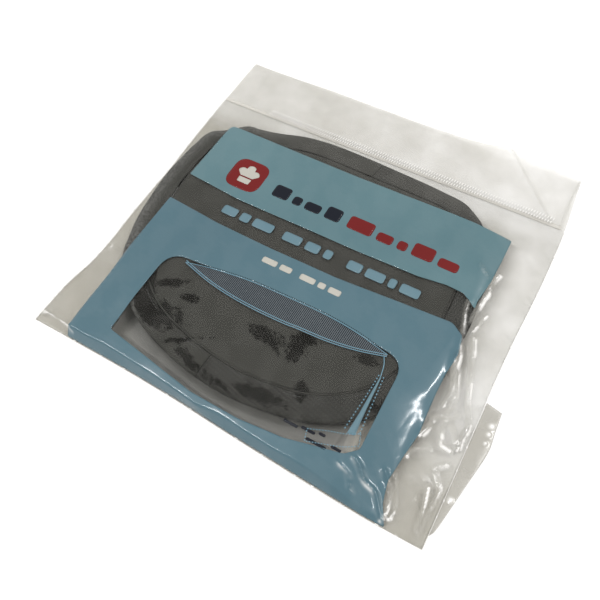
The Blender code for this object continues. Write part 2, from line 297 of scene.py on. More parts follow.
def grid_object(name: str, points: Array, wrap_rows: bool = False, wrap_columns: bool = False) -> Piece:
    """A surface from a grid of points, with a UV map that runs 0 to 1 along rows and columns.

    Args:
        name: the piece's name.
        points: an array of rows, columns and coordinates.
        wrap_rows: whether the last row joins the first.
        wrap_columns: whether the last column joins the first.

    Returns:
        The linked object.
    """
    rows, columns = points.shape[:2]
    faces = grid_faces(rows, columns, wrap_rows, wrap_columns)
    obj = make_object(name, points.reshape(-1, 3), faces)
    uv = obj.data.uv_layers.new(name="UVMap")
    across, along = faces % columns, faces // columns
    last_column = across.max(1, keepdims=True) == columns - 1
    last_row = along.max(1, keepdims=True) == rows - 1
    across = np.where((across == 0) & last_column & wrap_columns, columns, across)
    along = np.where((along == 0) & last_row & wrap_rows, rows, along)
    share = np.stack([across / columns, along / rows], -1).reshape(-1)
    uv.data.foreach_set("uv", share.astype(np.float32))
    return obj


def add_field(obj: Piece, name: str, values: Array) -> None:
    """Stores one number a point as an attribute that materials can read."""
    attribute = obj.data.attributes.new(name, "FLOAT", "POINT")
    attribute.data.foreach_set("value", np.asarray(values, np.float32).ravel())


def add_wall(obj: Piece, thickness: float, offset: float = -1.0) -> None:
    """Gives an open sheet a wall, which grows to the back of its faces by default.

    Args:
        obj: the sheet.
        thickness: the wall's thickness.
        offset: -1 for a wall behind the faces, 1 in front, 0 on both sides.
    """
    wall = obj.modifiers.new("wall", "SOLIDIFY")
    wall.thickness = thickness
    wall.offset = offset


def stamp(shape: Array, faces: Array, places: Array) -> tuple[Array, Array]:
    """Copies of one small shape under many transforms.

    Args:
        shape: the shape's points.
        faces: the shape's faces.
        places: one 3 x 4 transform a copy.

    Returns:
        All the points and all the faces.
    """
    points = np.einsum("nij,pj->npi", places[:, :, :3], shape) + places[:, None, :, 3]
    steps = (np.arange(len(places)) * len(shape))[:, None, None]
    return points.reshape(-1, 3), (faces[None] + steps).reshape(-1, faces.shape[1])


def grain_shape(length: float, width: float, height: float) -> tuple[Array, Array]:
    """A small closed grain: six-sided rings along X that taper to its ends, for stitches and
    ticks. Ring radius follows the square root of one less the squared share of the length.

    Args:
        length: its length along X.
        width: its width along Y.
        height: its height.

    Returns:
        Its points and its faces.
    """
    turn = np.arange(6) * math.pi / 3
    share = np.array([-0.96, -0.5, 0.5, 0.96])
    girth = np.sqrt(1 - share**2)
    ring = np.stack([np.zeros(6), np.cos(turn) * width / 2, np.sin(turn) * height / 2], 1)
    points = ring[None] * np.stack([np.ones(4), girth, girth], 1)[:, None]
    points[:, :, 0] = (share * length / 2)[:, None]
    faces = grid_faces(4, 6, wrap_columns=True)[:, ::-1]
    caps = np.array([[0, 1, 2, 3], [0, 3, 4, 5], [18, 21, 20, 19], [18, 23, 22, 21]])[:, ::-1]
    return points.reshape(-1, 3), np.vstack([faces, caps])


# ---------------------------------------------------------------------------------------------
# Finishes


class Graph:
    """A material's nodes, with short ways to add and join them."""

    def __init__(self, name: str, **sockets: float | tuple) -> None:
        """Starts a Principled material and sets the named sockets, with _ for a space.

        Args:
            name: the material's name.
            sockets: the shader's values by socket name.
        """
        self.material = bpy.data.materials.new(name)
        self.material.use_nodes = True
        self.tree = self.material.node_tree
        self.shader = self.tree.nodes["Principled BSDF"]
        for socket, value in sockets.items():
            self.shader.inputs[socket.replace("_", " ")].default_value = value

    def node(self, kind: str, inputs: dict | None = None, **settings: object) -> bpy.types.Node:
        """Adds a node.

        Args:
            kind: the node's type, without ShaderNode.
            inputs: values or sockets for its inputs, by name or number.
            settings: values for its own properties.

        Returns:
            The node.
        """
        node = self.tree.nodes.new("ShaderNode" + kind)
        for key, value in settings.items():
            setattr(node, key, value)
        for key, value in (inputs or {}).items():
            if isinstance(value, Socket):
                self.tree.links.new(value, node.inputs[key])
            else:
                node.inputs[key].default_value = value
        return node

    def add(self, first: object, second: object, clamp: bool = False) -> Socket:
        """The sum of two numbers or sockets."""
        return self.node("Math", {0: first, 1: second}, operation="ADD", use_clamp=clamp).outputs[0]

    def times(self, first: object, second: object) -> Socket:
        """The product of two numbers or sockets."""
        return self.node("Math", {0: first, 1: second}, operation="MULTIPLY").outputs[0]

    def mix(self, factor: object, first: object, second: object) -> Socket:
        """A colour between two colours or sockets.

        Args:
            factor: the share of the second colour.
            first: a colour or socket.
            second: a colour or socket.

        Returns:
            The mixed colour.
        """
        node = self.node("Mix", data_type="RGBA", clamp_factor=True)
        for number, value in ((0, factor), (6, first), (7, second)):
            if isinstance(value, Socket):
                self.tree.links.new(value, node.inputs[number])
            else:
                node.inputs[number].default_value = (*value, 1.0) if isinstance(value, tuple) else value
        return node.outputs[2]

    def remap(
        self, value: object, low: float, high: float, to_low: float = 0.0, to_high: float = 1.0
    ) -> Socket:
        """A number moved from one range to another, clamped to it."""
        values = {"Value": value, "From Min": low, "From Max": high, "To Min": to_low, "To Max": to_high}
        return self.node("MapRange", values, clamp=True).outputs[0]

    def place(self) -> Socket:
        """The point's place in the frame."""
        return self.node("TexCoord").outputs["Object"]

    def noise(self, scale: float, detail: float = 2.0, rough: float = 0.5, at: object = None) -> Socket:
        """Smooth random cloud from 0 to 1, with scale waves a metre."""
        inputs = {"Vector": at or self.place(), "Scale": scale, "Detail": detail, "Roughness": rough}
        return self.node("TexNoise", inputs).outputs["Fac"]

    def attribute(self, name: str) -> Socket:
        """A field stored on the mesh."""
        return self.node("Attribute", attribute_name=name).outputs["Fac"]

    def bump(self, height: object, strength: float, distance: float, under: object = None) -> Socket:
        """A normal that follows a height, which may lie on another normal.

        Args:
            height: the relief.
            strength: how much of it counts.
            distance: its height in metres.
            under: the normal that it lies on.

        Returns:
            The normal.
        """
        inputs = {"Height": height, "Strength": strength, "Distance": distance}
        if under is not None:
            inputs["Normal"] = under
        return self.node("Bump", inputs).outputs[0]

    def finish(self, **sockets: object) -> Material:
        """Joins sockets to the shader's inputs and gives the material."""
        for socket, value in sockets.items():
            self.tree.links.new(value, self.shader.inputs[socket.replace("_", " ")])
        return self.material


@dataclass(frozen=True)
class FilmFinish:
    """Clear film. Its haze field thickens it, its painted_glint field paints near-white highlights on it,
    and its shade field paints the hat's shadow on it as dark grey."""

    name: str
    tint: Colour
    haze: float
    cloud: float = 0.3
    roughness: float = 0.10

    def build(self) -> Material:
        """The material, whose alpha is the haze in soft clouds plus the haze field and the painted highlights
        of the painted_glint field.

        Returns:
            The material.
        """
        graph = Graph(self.name, Roughness=self.roughness, IOR=1.5, Specular_IOR_Level=1.0)
        cloud = graph.remap(graph.noise(28.0, 3.0, 0.6), 0.35, 0.7, 1 - self.cloud, 1 + self.cloud)
        haze = graph.add(graph.times(cloud, self.haze), graph.attribute("haze"))
        painted_glint = graph.attribute("painted_glint")
        alpha = graph.add(haze, painted_glint, True)
        crinkle = graph.bump(graph.noise(420.0, 3.0, 0.6), 0.05, 0.0005)
        colour = graph.mix(graph.noise(60.0, 2.0), self.tint, tuple(0.92 * part for part in self.tint))
        colour = graph.mix(graph.remap(graph.attribute("haze"), 0.0, 0.12), colour, (0.44, 0.43, 0.39))
        # painted shadow: the hat's shadow as dark grey where the shade field is set
        colour = graph.mix(graph.attribute("shade"), colour, (0.155, 0.155, 0.143))
        # painted highlight: near white where the painted_glint field is set
        colour = graph.mix(graph.remap(painted_glint, 0.0, 0.25), colour, (0.95, 0.94, 0.92))
        return graph.finish(Base_Color=colour, Alpha=alpha, Normal=crinkle)


@dataclass(frozen=True)
class InkFinish:
    """Printing ink under the gloss of the film. Its painted_glint field paints near-white highlights on it
    along creases.
    """

    name: str
    colour: Colour
    fade: Colour
    gloss: float = 0.1

    def build(self) -> Material:
        """The material, whose colour drifts a little from one tone to the other.

        Returns:
            The material.
        """
        coat = {"Coat_Weight": self.gloss, "Coat_Roughness": 0.1}
        graph = Graph(self.name, Roughness=0.35, Specular_IOR_Level=0.15, **coat)
        drift = graph.remap(graph.noise(11.0, 3.0, 0.55), 0.3, 0.7)
        grain = graph.remap(graph.noise(2600.0, 1.0), 0.2, 0.8, 0.95, 1.05)
        colour = graph.mix(drift, self.colour, self.fade)
        speckled = graph.node("Mix", {0: 1.0, 6: colour}, data_type="RGBA", blend_type="MULTIPLY")
        shade = graph.node("CombineColor", {0: grain, 1: grain, 2: grain}).outputs[0]
        graph.tree.links.new(shade, speckled.inputs[7])
        crinkle = graph.bump(graph.noise(420.0, 3.0, 0.6), 0.05, 0.0005)
        # painted highlight: near white where the painted_glint field is set
        lit = graph.mix(graph.attribute("painted_glint"), speckled.outputs[2], (0.90, 0.90, 0.88))
        return graph.finish(Base_Color=lit, Normal=crinkle)


@dataclass(frozen=True)
class ClothFinish:
    """Woven or knitted cloth, whose ribs run at an angle over the frame's plan. Its rim field
    adds lighter grey flecks, and its contact field darkens it where film is pressed on it."""

    name: str
    colour: Colour
    light: Colour
    ribs: float = 1100.0
    turn: float = 30.0
    depth: float = 0.6
    heather: float = 0.5
    holes: bool = False

    def build(self) -> Material:
        """The material: bands for the ribs, crossed bands for the yarns, and a heather of noise.

        Returns:
            The material.
        """
        sheen = {"Sheen_Weight": 0.04, "Sheen_Roughness": 0.5}
        graph = Graph(self.name, Roughness=0.9, Specular_IOR_Level=0.08, **sheen)
        turn = (0, 0, math.radians(self.turn))
        turned = graph.node("Mapping", {"Vector": graph.place(), "Rotation": turn}).outputs[0]
        waves = []
        for direction, share in (("X", 1.0), ("Y", 0.72)):
            scale = self.ribs * share * 2 * math.pi / 20
            inputs = {"Vector": turned, "Scale": scale, "Distortion": 0.7, "Detail": 1.0}
            wave = graph.node("TexWave", inputs, bands_direction=direction, wave_profile="SIN")
            waves.append(wave.outputs["Fac"])
        if self.holes:
            weave = graph.times(*waves)
        else:
            weave = graph.add(graph.times(waves[0], 0.7), graph.times(waves[1], 0.3))
        fleck = graph.remap(graph.noise(900.0, 3.0, 0.7), 0.3, 0.75)
        tone = graph.add(graph.times(weave, 1 - self.heather), graph.times(fleck, self.heather))
        speck = graph.remap(graph.noise(800.0, 2.0, 0.6), 0.42, 0.62, 0.15, 1.0)
        # lighter grey flecks where the rim field is set
        rim_flecks = graph.times(graph.attribute("rim"), speck)
        colour = graph.mix(rim_flecks, graph.mix(tone, self.colour, self.light), (0.13, 0.13, 0.125))
        rumple = graph.bump(graph.noise(90.0, 2.0), 0.3, 0.001)
        contact = graph.attribute("contact")
        ragged = graph.times(graph.noise(260.0, 9.0, 0.85), 3.0)
        pressed = graph.remap(graph.add(contact, ragged), 1.93, 2.02)
        pressed = graph.times(pressed, graph.remap(contact, 0.0, 0.3))
        colour = graph.mix(pressed, colour, (0.008, 0.008, 0.007))
        return graph.finish(Base_Color=colour, Normal=graph.bump(weave, self.depth, 0.0004, rumple))


@dataclass(frozen=True)
class YarnFinish:
    """Sewing thread, twisted along its stitch."""

    name: str
    colour: Colour

    def build(self) -> Material:
        """The material, with a fine twist from noise.

        Returns:
            The material.
        """
        graph = Graph(self.name, Roughness=0.6, Sheen_Weight=0.3)
        twist = graph.noise(3000.0, 1.0)
        colour = graph.mix(twist, self.colour, tuple(1.6 * part for part in self.colour))
        return graph.finish(Base_Color=colour, Normal=graph.bump(twist, 0.5, 0.0002))


# ---------------------------------------------------------------------------------------------
# The hat's outline and the film over it


@dataclass
class HatForm:
    """The flat hat's plan and section. The outline is a closed curve through a few points, and
    an inset moves from it straight towards the hat's centre."""

    centre: tuple[float, float]
    top_z: float
    under_z: float
    outline: Plan = (
        (96, -24), (95.5, 8), (91, 34), (79, 53), (70, 60.5), (64, 64), (57, 65.5), (38, 67.2),
        (12, 68.8), (-20, 69.8), (-37, 68.8), (-52, 66), (-66, 61.5), (-78, 59), (-87, 57.5),
        (-97, 48.5), (-106, 41.5), (-109, 28), (-110.5, 8), (-110, -8), (-107, -32), (-103, -47),
        (-96.5, -64), (-84, -79), (-63.5, -93), (-35, -102.4), (-5, -106.4), (24, -104.2), (50, -97),
        (72, -82), (88, -57),
    )
    contacts: Sequence[tuple[float, float, float, float, float]] = (
        # middle x, middle y, half length, half width in millimetres, and turn in degrees
        (-55, -87, 12, 6.5, 16), (-66, -84, 9, 5.5, -40), (-70, -73, 9, 3.0, -62), (-60, -66, 7, 2.2, 30),
        (-45, -69.5, 4.5, 2.0, 15), (-33, -92, 12, 1.0, 34), (5, -68.5, 8.5, 3.2, 3), (12, -72, 4, 1.5, -40),
        (22.5, -69, 5, 4.0, 60), (24.5, -60.5, 6, 2.6, 15), (-4.5, -107, 14, 4.0, -8),
        (-24, -101, 8, 2.6, -25), (19, -99, 10, 3.6, 4), (36.5, -86.5, 4.6, 3.2, -61),
        (62, -93, 8.5, 2.6, 22), (58, -55.5, 5, 2.2, 5), (75, -81, 7, 4.2, 78),
    )
    steps: int = 16
    loop: Array = field(init=False)

    def __post_init__(self) -> None:
        """Works out the outline's points, evenly spaced from the right, anticlockwise."""
        curve = spline([(x * MM, y * MM) for x, y in self.outline], True, self.steps)
        self.loop = evenly(curve, 480, closed=True)

    def ring(self, inset: float | Array, count: int = 480) -> Array:
        """The outline taken in by an inset, as points in plan.

        Args:
            inset: how far the points move in.
            count: how many points.

        Returns:
            The ring's points, one row each.
        """
        loop = evenly(self.loop, count, closed=True)
        middle = np.asarray(self.centre)
        reach = np.linalg.norm(loop - middle, axis=1)
        share = 1.0 - np.asarray(inset) / reach
        return middle + (loop - middle) * share[..., None]

    def contact_field(self, x: Array, y: Array) -> Array:
        """Where the film presses the cloth dark: each patch falls from 1 at its middle to 0.

        Args:
            x: positions across.
            y: positions along.

        Returns:
            The field, 0 to 1.
        """
        total = np.zeros(x.shape)
        for middle_x, middle_y, length, width, turn in self.contacts:
            angle = math.radians(turn)
            dx, dy = x / MM - middle_x, y / MM - middle_y
            along = (dx * math.cos(angle) + dy * math.sin(angle)) / length
            across = (dy * math.cos(angle) - dx * math.sin(angle)) / width
            total = np.maximum(total, 1.0 - 0.38 * np.hypot(along, across) ** 1.3)
        return np.clip(total, 0.0, 1.0)

    def distance_out(self, x: Array, y: Array) -> Array:
        """The signed distance in plan from the outline, negative on the hat."""
        away = distance_to_path(x, y, np.vstack([self.loop[::4], self.loop[:1]]))
        return np.where(inside_loops(x, y, [self.loop[::4]]), -away, away)


@dataclass(frozen=True)
class Crease:
    """A raised fold in film: its line in plan, its height and its half width, in millimetres.
    Its section is a peak, height times exp(-(distance / width) ** sharpness)."""

    line: Plan
    height: float
    width: float
    sharpness: float = 1.3

    def relief(self, x: Array, y: Array) -> Array:
        """How far the fold lifts the film at each point.

        Args:
            x: positions across.
            y: positions along.

        Returns:
            The lift.
        """
        path = spline([(across * MM, along * MM) for across, along in self.line], False, 5)
        away = distance_to_path(x, y, path) / (self.width * MM)
        return self.height * MM * np.exp(-(away**self.sharpness))


def along_knots(value: Array, knots: Plan) -> Array:
    """A smooth curve through knots of position and value, both in millimetres."""
    curve = spline(knots, False, 8) * MM
    return np.interp(value, curve[:, 0], curve[:, 1])


def softly_lower(first: Array, second: Array, softness: float) -> Array:
    """The lower of two heights, rounded where they cross: the mean of both less half the root
    of the squared difference and the squared softness."""
    return 0.5 * (first + second - np.sqrt((first - second) ** 2 + softness**2))


@dataclass
class FilmForm:
    """The front film as a height over the plan. It lies on the hat, falls from the hat's outline
    to the welds, breaks over a ridge along the bottom, and carries folds and crumples. Knots for
    its bowed edges are pairs of millimetres."""

    hat: HatForm
    weld_z: float
    top_z: float
    high_y: float
    lap: float = 5.0 * MM
    left: Plan = ((-126, -119.4), (-95, -118.8), (-74, -115.9), (-55, -115.5), (-35, -116.4),
                  (-10, -116.8), (10, -117.0), (35, -118.2), (60, -119.0), (80, -119.5), (122, -119.6))
    right: Plan = ((-126, 120.2), (-80, 120.2), (-45, 119.9), (-24, 119.8), (0, 120.3), (25, 121.4),
                   (50, 121.9), (80, 121.6), (104, 119.8), (122, 118.8))
    low: Plan = ((-122, -119.0), (-92, -118.8), (-54, -118.8), (-20, -119.6), (7, -121.0),
                 (45, -122.6), (90, -124.0), (122, -123.6))
    ridge_reach: Plan = ((-122, 7.0), (-88, 4.4), (-70, 4.8), (-50, 4.0), (-35, 3.4), (-22, 2.8),
                         (-8, 2.2), (6, 4.2), (23, 4.0), (40, 4.0), (60, 5.5), (90, 7.0), (122, 8.0))
    ridge_rise: float = 7.0 * MM
    fine: float = 0.50 * MM
    coarse: float = 1.25 * MM
    creases: Sequence[Crease] = (
        # down the right-hand side of the printing
        Crease(((87, 26), (92, 22.5), (96.5, 19.5)), 1.0, 0.9),
        Crease(((99, 25), (97.5, 18), (97.6, 10), (96.4, 0), (96, -9)), 1.5, 1.2),
        Crease(((102, -2), (100.5, -9), (99, -14)), 0.9, 1.0),
        Crease(((90, 1), (91.5, -7), (94, -16), (96, -26), (97.5, -34)), 1.0, 1.3),
        Crease(((97, -31), (98.4, -38), (102, -45.5), (105, -52), (105, -60)), 2.4, 1.8),
        Crease(((101, -18), (104.5, -27), (108, -37), (111, -48), (116.5, -60), (116, -68),
                (116.8, -73)), 1.9, 1.3),
        Crease(((101, -40), (102.5, -50), (102, -58)), 1.0, 1.2),
        Crease(((97.9, -77), (99.8, -71.5), (100.2, -67.2), (103, -63.9), (107.2, -63.8),
                (111.3, -66.8), (114, -69.8)), 1.7, 1.2),
        Crease(((109.9, -58.7), (107.5, -64), (106.1, -68.5), (107.8, -75), (114, -76)), 1.3, 1.4),
        # the lower right-hand corner
        Crease(((96.7, -88.9), (99, -85.4), (104.8, -81.2)), 1.1, 1.1),
        Crease(((110.5, -88), (115, -83)), 1.2, 1.6),
        Crease(((112.1, -90.4), (115.6, -94.7), (116.8, -98.5), (116.2, -106.4), (115.8, -112.7),
                (115.3, -117)), 1.4, 1.1),
        Crease(((111.2, -98), (113.6, -108.6), (115.3, -117)), 1.0, 0.9),
        Crease(((90.5, -101.5), (94.3, -105), (97.8, -108), (98.3, -113), (99, -118)), 1.7, 1.4),
        Crease(((95, -100.7), (98.5, -106.5), (101.6, -113.1), (101.5, -119)), 1.1, 1.1),
        Crease(((75, -103), (79, -105.5), (84, -110), (91, -112.5), (98, -121)), 1.5, 1.2),
        Crease(((70, -109), (76, -111.5), (80, -117)), 0.9, 1.1),
        # faint folds over the window
        Crease(((-7, -79), (4, -83.7), (15, -89.5), (28, -95.8), (40, -100.5)), 0.22, 1.8),
        Crease(((-42, -96.3), (-33, -93.5), (-26, -88), (-18, -81)), 0.16, 1.2),
        Crease(((-60, -90), (-52, -86.5), (-43, -82)), 0.16, 1.6),
        # beside the left-hand weld
        Crease(((-114, 59), (-108, 54), (-103, 49)), 0.5, 1.1),
        Crease(((-115, -52), (-111, -57), (-108, -62)), 0.6, 1.0),
        Crease(((-117, -72), (-112, -76), (-107, -77)), 0.5, 1.1),
        Crease(((-118, -112), (-108, -112.6), (-97, -114), (-92, -115.5)), 0.5, 0.9),
    )

    def edges(self, x: Array, y: Array) -> tuple[Array, Array, Array]:
        """How far each point lies inside the left, right and bottom edges.

        Args:
            x: positions across.
            y: positions along.

        Returns:
            The three distances.
        """
        inside_left = x - along_knots(y, self.left)
        inside_right = along_knots(y, self.right) - x
        return inside_left, inside_right, y - along_knots(x, self.low)

    def relief(self, x: Array, y: Array) -> Array:
        """Folds and crumples: the creases, sharp crumples on the right and in the lower corner,
        and small pleats by the side welds.

        Args:
            x: positions across.
            y: positions along.

        Returns:
            The relief.
        """
        out = self.hat.distance_out(x, y) + self.lap
        free = smooth_step(out, 0.0, 9 * MM)
        right = smooth_step(x, 92 * MM, 100 * MM) * smooth_step(-y, -50 * MM, 0.0)
        corner = smooth_step(x, 66 * MM, 92 * MM) * smooth_step(-y, 100 * MM, 110 * MM)
        total = sum(crease.relief(x, y) for crease in self.creases)
        total += 0.80 * MM * facets(x, y, 17 * MM, 11, 5) * np.maximum(right, corner)
        by_weld = smooth_step(-self.edges(x, y)[0], -9 * MM, -2 * MM) * smooth_step(-y, -80 * MM, -50 * MM)
        total += 0.22 * MM * facets(x, y, 6 * MM, 17, 5) * by_weld
        total += 0.20 * MM * facets(x, y, 16 * MM, 5) * free
        side = np.minimum(*self.edges(x, y)[:2])
        pleat = smooth_step(-side, -8 * MM, -1 * MM) * smooth_step(-y, -70 * MM, -40 * MM)
        return total + 0.14 * MM * np.sin(y * 2 * math.pi / (5.3 * MM) + 3 * np.sin(y * 70)) * pleat

    def folds(self, x: Array, y: Array) -> tuple[Array, Array]:
        """The relief's steepness, and its painted glints: narrow painted highlights on the flanks
        that face the back light on the right or the key light in front, broken along their length.

        Args:
            x: positions across.
            y: positions along.

        Returns:
            The steepness and the painted glints.
        """
        step = 0.15 * MM
        here = self.relief(x, y)
        across = (self.relief(x + step, y) - here) / step
        along = (self.relief(x, y + step) - here) / step
        # painted highlights: flanks tilted towards the back light on the right or the key light in front
        right = np.exp(-((np.hypot(across + 0.62, along) / 0.30) ** 2))
        front = np.exp(-((np.hypot(across, along - 0.62) / 0.30) ** 2))
        broken = smooth_step(ripples(x, y, 16 * MM, 61) + 0.35 * ripples(x, y, 5 * MM, 62), -0.9, 0.7)
        return np.hypot(across, along), np.maximum(right, front) * broken

    def height(self, x: Array, y: Array) -> Array:
        """The height of the film's upper face.

        Outside the hat the share of the way from the outline to the nearest weld, raised to a
        power, is the share of the drop. Near the bottom the film falls to the ridge instead, and
        a plane from the weld to the ridge cuts it short. Relief fades to nothing at the edges.

        Args:
            x: positions across.
            y: positions along.

        Returns:
            The heights.
        """
        x, y = np.asarray(x, float), np.asarray(y, float)
        out = np.clip(self.hat.distance_out(x, y) + self.lap, 0.0, None)
        inside_left, inside_right, foot = self.edges(x, y)
        edge = np.minimum(np.minimum(inside_left, inside_right), np.minimum(foot, self.high_y - y))
        edge = np.maximum(edge, 0.0)
        low = smooth_step(-y, 74 * MM, 108 * MM) * smooth_step(x, -112 * MM, -92 * MM)
        low = low * (1.0 - 0.7 * smooth_step(x, 44 * MM, 92 * MM))
        reach = along_knots(x, self.ridge_reach)
        side = (out / np.maximum(out + edge, 1e-9)) ** 1.5
        shelf = (out / np.maximum(out + np.maximum(foot - reach, 0.0), 1e-9)) ** 1.2
        foot_z = self.weld_z + 0.6 * MM * smooth_step(y, 60 * MM, self.high_y)
        ridge_drop = self.top_z - self.weld_z - self.ridge_rise
        drop = (1 - low) * (self.top_z - foot_z) * side + low * ridge_drop * shelf
        apron = self.weld_z + foot * self.ridge_rise / reach
        base = softly_lower(self.top_z - drop, apron, 0.35 * MM) + 0.08 * MM * ripples(x, y, 60 * MM, 3)
        return base + self.relief(x, y) * smooth_step(edge, 0.0, 2.5 * MM)

    def lattice(self) -> tuple[Array, Array]:
        """Positions across and along the film, closer together on the right and at the bottom.

        Returns:
            The positions across and those along.
        """
        fine, coarse = self.fine, self.coarse
        across = [np.arange(-122 * MM, 84 * MM, 1.2 * coarse), np.arange(84 * MM, 123 * MM, fine)]
        along = [np.arange(-126 * MM, -98 * MM, fine), np.arange(-98 * MM, 80 * MM, coarse)]
        return np.concatenate(across), np.concatenate(along)

    def between_sides(self, share: Array, y: Array) -> Array:
        """The position across at a share of the way from the left edge to the right one."""
        left, right = along_knots(y, self.left), along_knots(y, self.right)
        return left + (right - left) * share

    def sheet(self) -> tuple[Array, Array]:
        """The lattice drawn in to the film's bowed edges, as grids of x and y.

        Returns:
            The grids of x and y.
        """
        across, along = self.lattice()
        x, y = np.meshgrid(across, along)
        x = self.between_sides((x - across[0]) / np.ptp(across), y)
        low = along_knots(x, self.low)
        return x, low + (self.high_y - low) * (y - along[0]) / np.ptp(along)


# ---------------------------------------------------------------------------------------------
# The pouch


@dataclass
class Pouch:
    """The films, welds, press-to-close strip and loose tab."""

    form: FilmForm
    gauge: float = 0.12 * MM
    tick_pitch: float = 1.70 * MM
    lip_rise: Plan = ((-122, 0.3), (-60, 0.4), (3, 0.7), (38, 1.4), (56, 3.4), (71, 7.4),
                      (84, 4.4), (101, 2.7), (122, 0.6))
    lip_lean: float = 34.0 * MM
    finish: FilmFinish = FilmFinish("front_film", (0.32, 0.315, 0.29), 0.010, 0.15)
    back_finish: FilmFinish = FilmFinish("back_film", (0.42, 0.40, 0.335), 0.46, 0.12, 0.25)
    lip_finish: FilmFinish = FilmFinish("lip_film", (0.84, 0.82, 0.77), 0.07, 0.35)
    tab_finish: FilmFinish = FilmFinish("tab_film", (0.46, 0.445, 0.395), 0.50, 0.15, 0.2)
    weld_finish: FilmFinish = FilmFinish("weld_film", (0.70, 0.68, 0.63), 0.22, 0.3, 0.15)
    strip_finish: FilmFinish = FilmFinish("strip_film", (0.60, 0.585, 0.54), 1.0, 0.0, 0.4)
    tick_finish: FilmFinish = FilmFinish("pressed_film", (0.80, 0.79, 0.77), 1.0, 0.0, 0.3)

    def front_film(self) -> Piece:
        """The front film, a height field on a lattice. It is milky on the flanks of its folds
        and above the printing.

        Returns:
            The film.
        """
        x, y = self.form.sheet()
        obj = grid_object("front_film_sheet", np.stack([x, y, self.form.height(x, y)], -1))
        slope, painted_glint = self.form.folds(x, y)
        mouth_haze = 0.030 + 0.020 * smooth_step(x, 0 * MM, 45 * MM)
        mouth_haze = mouth_haze * smooth_step(y, 46 * MM, 60 * MM)
        add_field(obj, "haze", np.maximum(0.18 * smooth_step(slope, 0.20, 0.80), mouth_haze))
        # painted highlights on the fold flanks that face the lights
        add_field(obj, "painted_glint", 0.75 * painted_glint)
        add_wall(obj, self.gauge)
        obj.data.materials.append(self.finish.build())
        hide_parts("front_film")
        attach(obj, Body.POUCH.value)
        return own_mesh(obj)

    def lip_sheet(self, low_y: float, high_y: float) -> tuple[Array, Array]:
        """A lattice over the lip strip, drawn in to the pouch's side edges.

        Args:
            low_y: where the lattice starts.
            high_y: where it ends.

        Returns:
            The grids of x and y.
        """
        share, y = np.meshgrid(np.linspace(0.0, 1.0, 201), np.linspace(low_y, high_y, 41))
        return self.form.between_sides(share, y), y

    def lip_height(self, x: Array, y: Array) -> Array:
        """How far the lip stands up: nothing at the strip, and at its free edge a slope to a
        peak near the right-hand end. The ridge below the peak leans towards the right.

        Args:
            x: positions across.
            y: positions along.

        Returns:
            The rise.
        """
        low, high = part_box("front_lip")
        share = np.clip((y - low.y) / (high.y - low.y), 0.0, 1.0)
        knots = np.array(self.lip_rise) * MM
        rise = np.interp(x - (1.0 - share) * self.lip_lean, knots[:, 0], knots[:, 1])
        fold = 0.25 * MM * facets(x, y, 30 * MM, 21) + 0.15 * MM * ripples(x, y, 40 * MM, 22)
        return rise * share**1.1 + fold * share

    def lip_haze(self, x: Array, y: Array) -> Array:
        """Milky lines along the lip's two folds, each exp(-(distance / 0.7 mm) ** 2).

        Args:
            x: positions across.
            y: positions along.

        Returns:
            The haze.
        """
        folds = (((71, 120), (91, 101), (112, 81)), ((118.5, 118), (117.5, 100), (118.5, 80)))
        lines = [distance_to_path(x, y, np.array(fold) * MM) for fold in folds]
        return 0.16 * sum(np.exp(-((line / (0.7 * MM)) ** 2)) for line in lines)

    def front_lip(self) -> Piece:
        """The front ply of the lip, above the press-to-close strip.

        Returns:
            The ply.
        """
        low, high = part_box("front_lip")
        x, y = self.lip_sheet(low.y - 0.25 * MM, high.y)
        z = low.z + 0.2 * MM + self.lip_height(x, y)
        obj = grid_object("front_lip_sheet", np.stack([x, y, z], -1))
        add_field(obj, "haze", self.lip_haze(x, y))
        add_wall(obj, self.gauge)
        obj.data.materials.append(self.lip_finish.build())
        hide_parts("front_lip")
        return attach(obj, Body.LIP.value)

    def back_film(self) -> Piece:
        """The back film: flat under the hat, with the back lip rising under the front one. Its haze is
        thinner at the mouth and on the right, painted light that makes it lighter there, and it is thicker
        and darker with the hat's painted shadow in the window's lower left.

        Returns:
            The film.
        """
        low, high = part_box("back_film")
        across, along = np.meshgrid(np.linspace(0.0, 1.0, 181), np.linspace(0.0, 1.0, 181))
        y = low.y + (high.y - low.y) * along
        x = self.form.between_sides(across, y)
        foot = along_knots(x, self.form.low)
        y = high.y - (high.y - y) * (high.y - foot) / (high.y - low.y)
        z = high.z * 0.6 + 0.9 * self.lip_height(x, y)
        obj = grid_object("back_film_sheet", np.stack([x, y, z], -1))
        # painted light: a thinner haze lightens the film at the mouth and on the right
        header = smooth_step(y, 48 * MM, 72 * MM)
        right_side = smooth_step(x, 80 * MM, 112 * MM) * smooth_step(y, -115 * MM, -60 * MM)
        header_painted_light = header * (0.22 + 0.09 * smooth_step(x, -60 * MM, 115 * MM))
        # painted shadow of the hat in the window's lower left, as a thicker, darker haze
        hat_away = self.form.hat.distance_out(x, y)
        shade = smooth_step(-hat_away, -26 * MM, -2 * MM) * smooth_step(-y, 70 * MM, 86 * MM)
        shade *= smooth_step(-x, -72 * MM, -62 * MM) * smooth_step(x, -84 * MM, -70 * MM)
        add_field(obj, "shade", shade)
        add_field(obj, "haze", 0.40 * shade - np.maximum(header_painted_light, 0.27 * right_side))
        add_wall(obj, self.gauge)
        obj.data.materials.append(self.back_finish.build())
        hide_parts("back_film")
        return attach(obj, Body.POUCH.value)

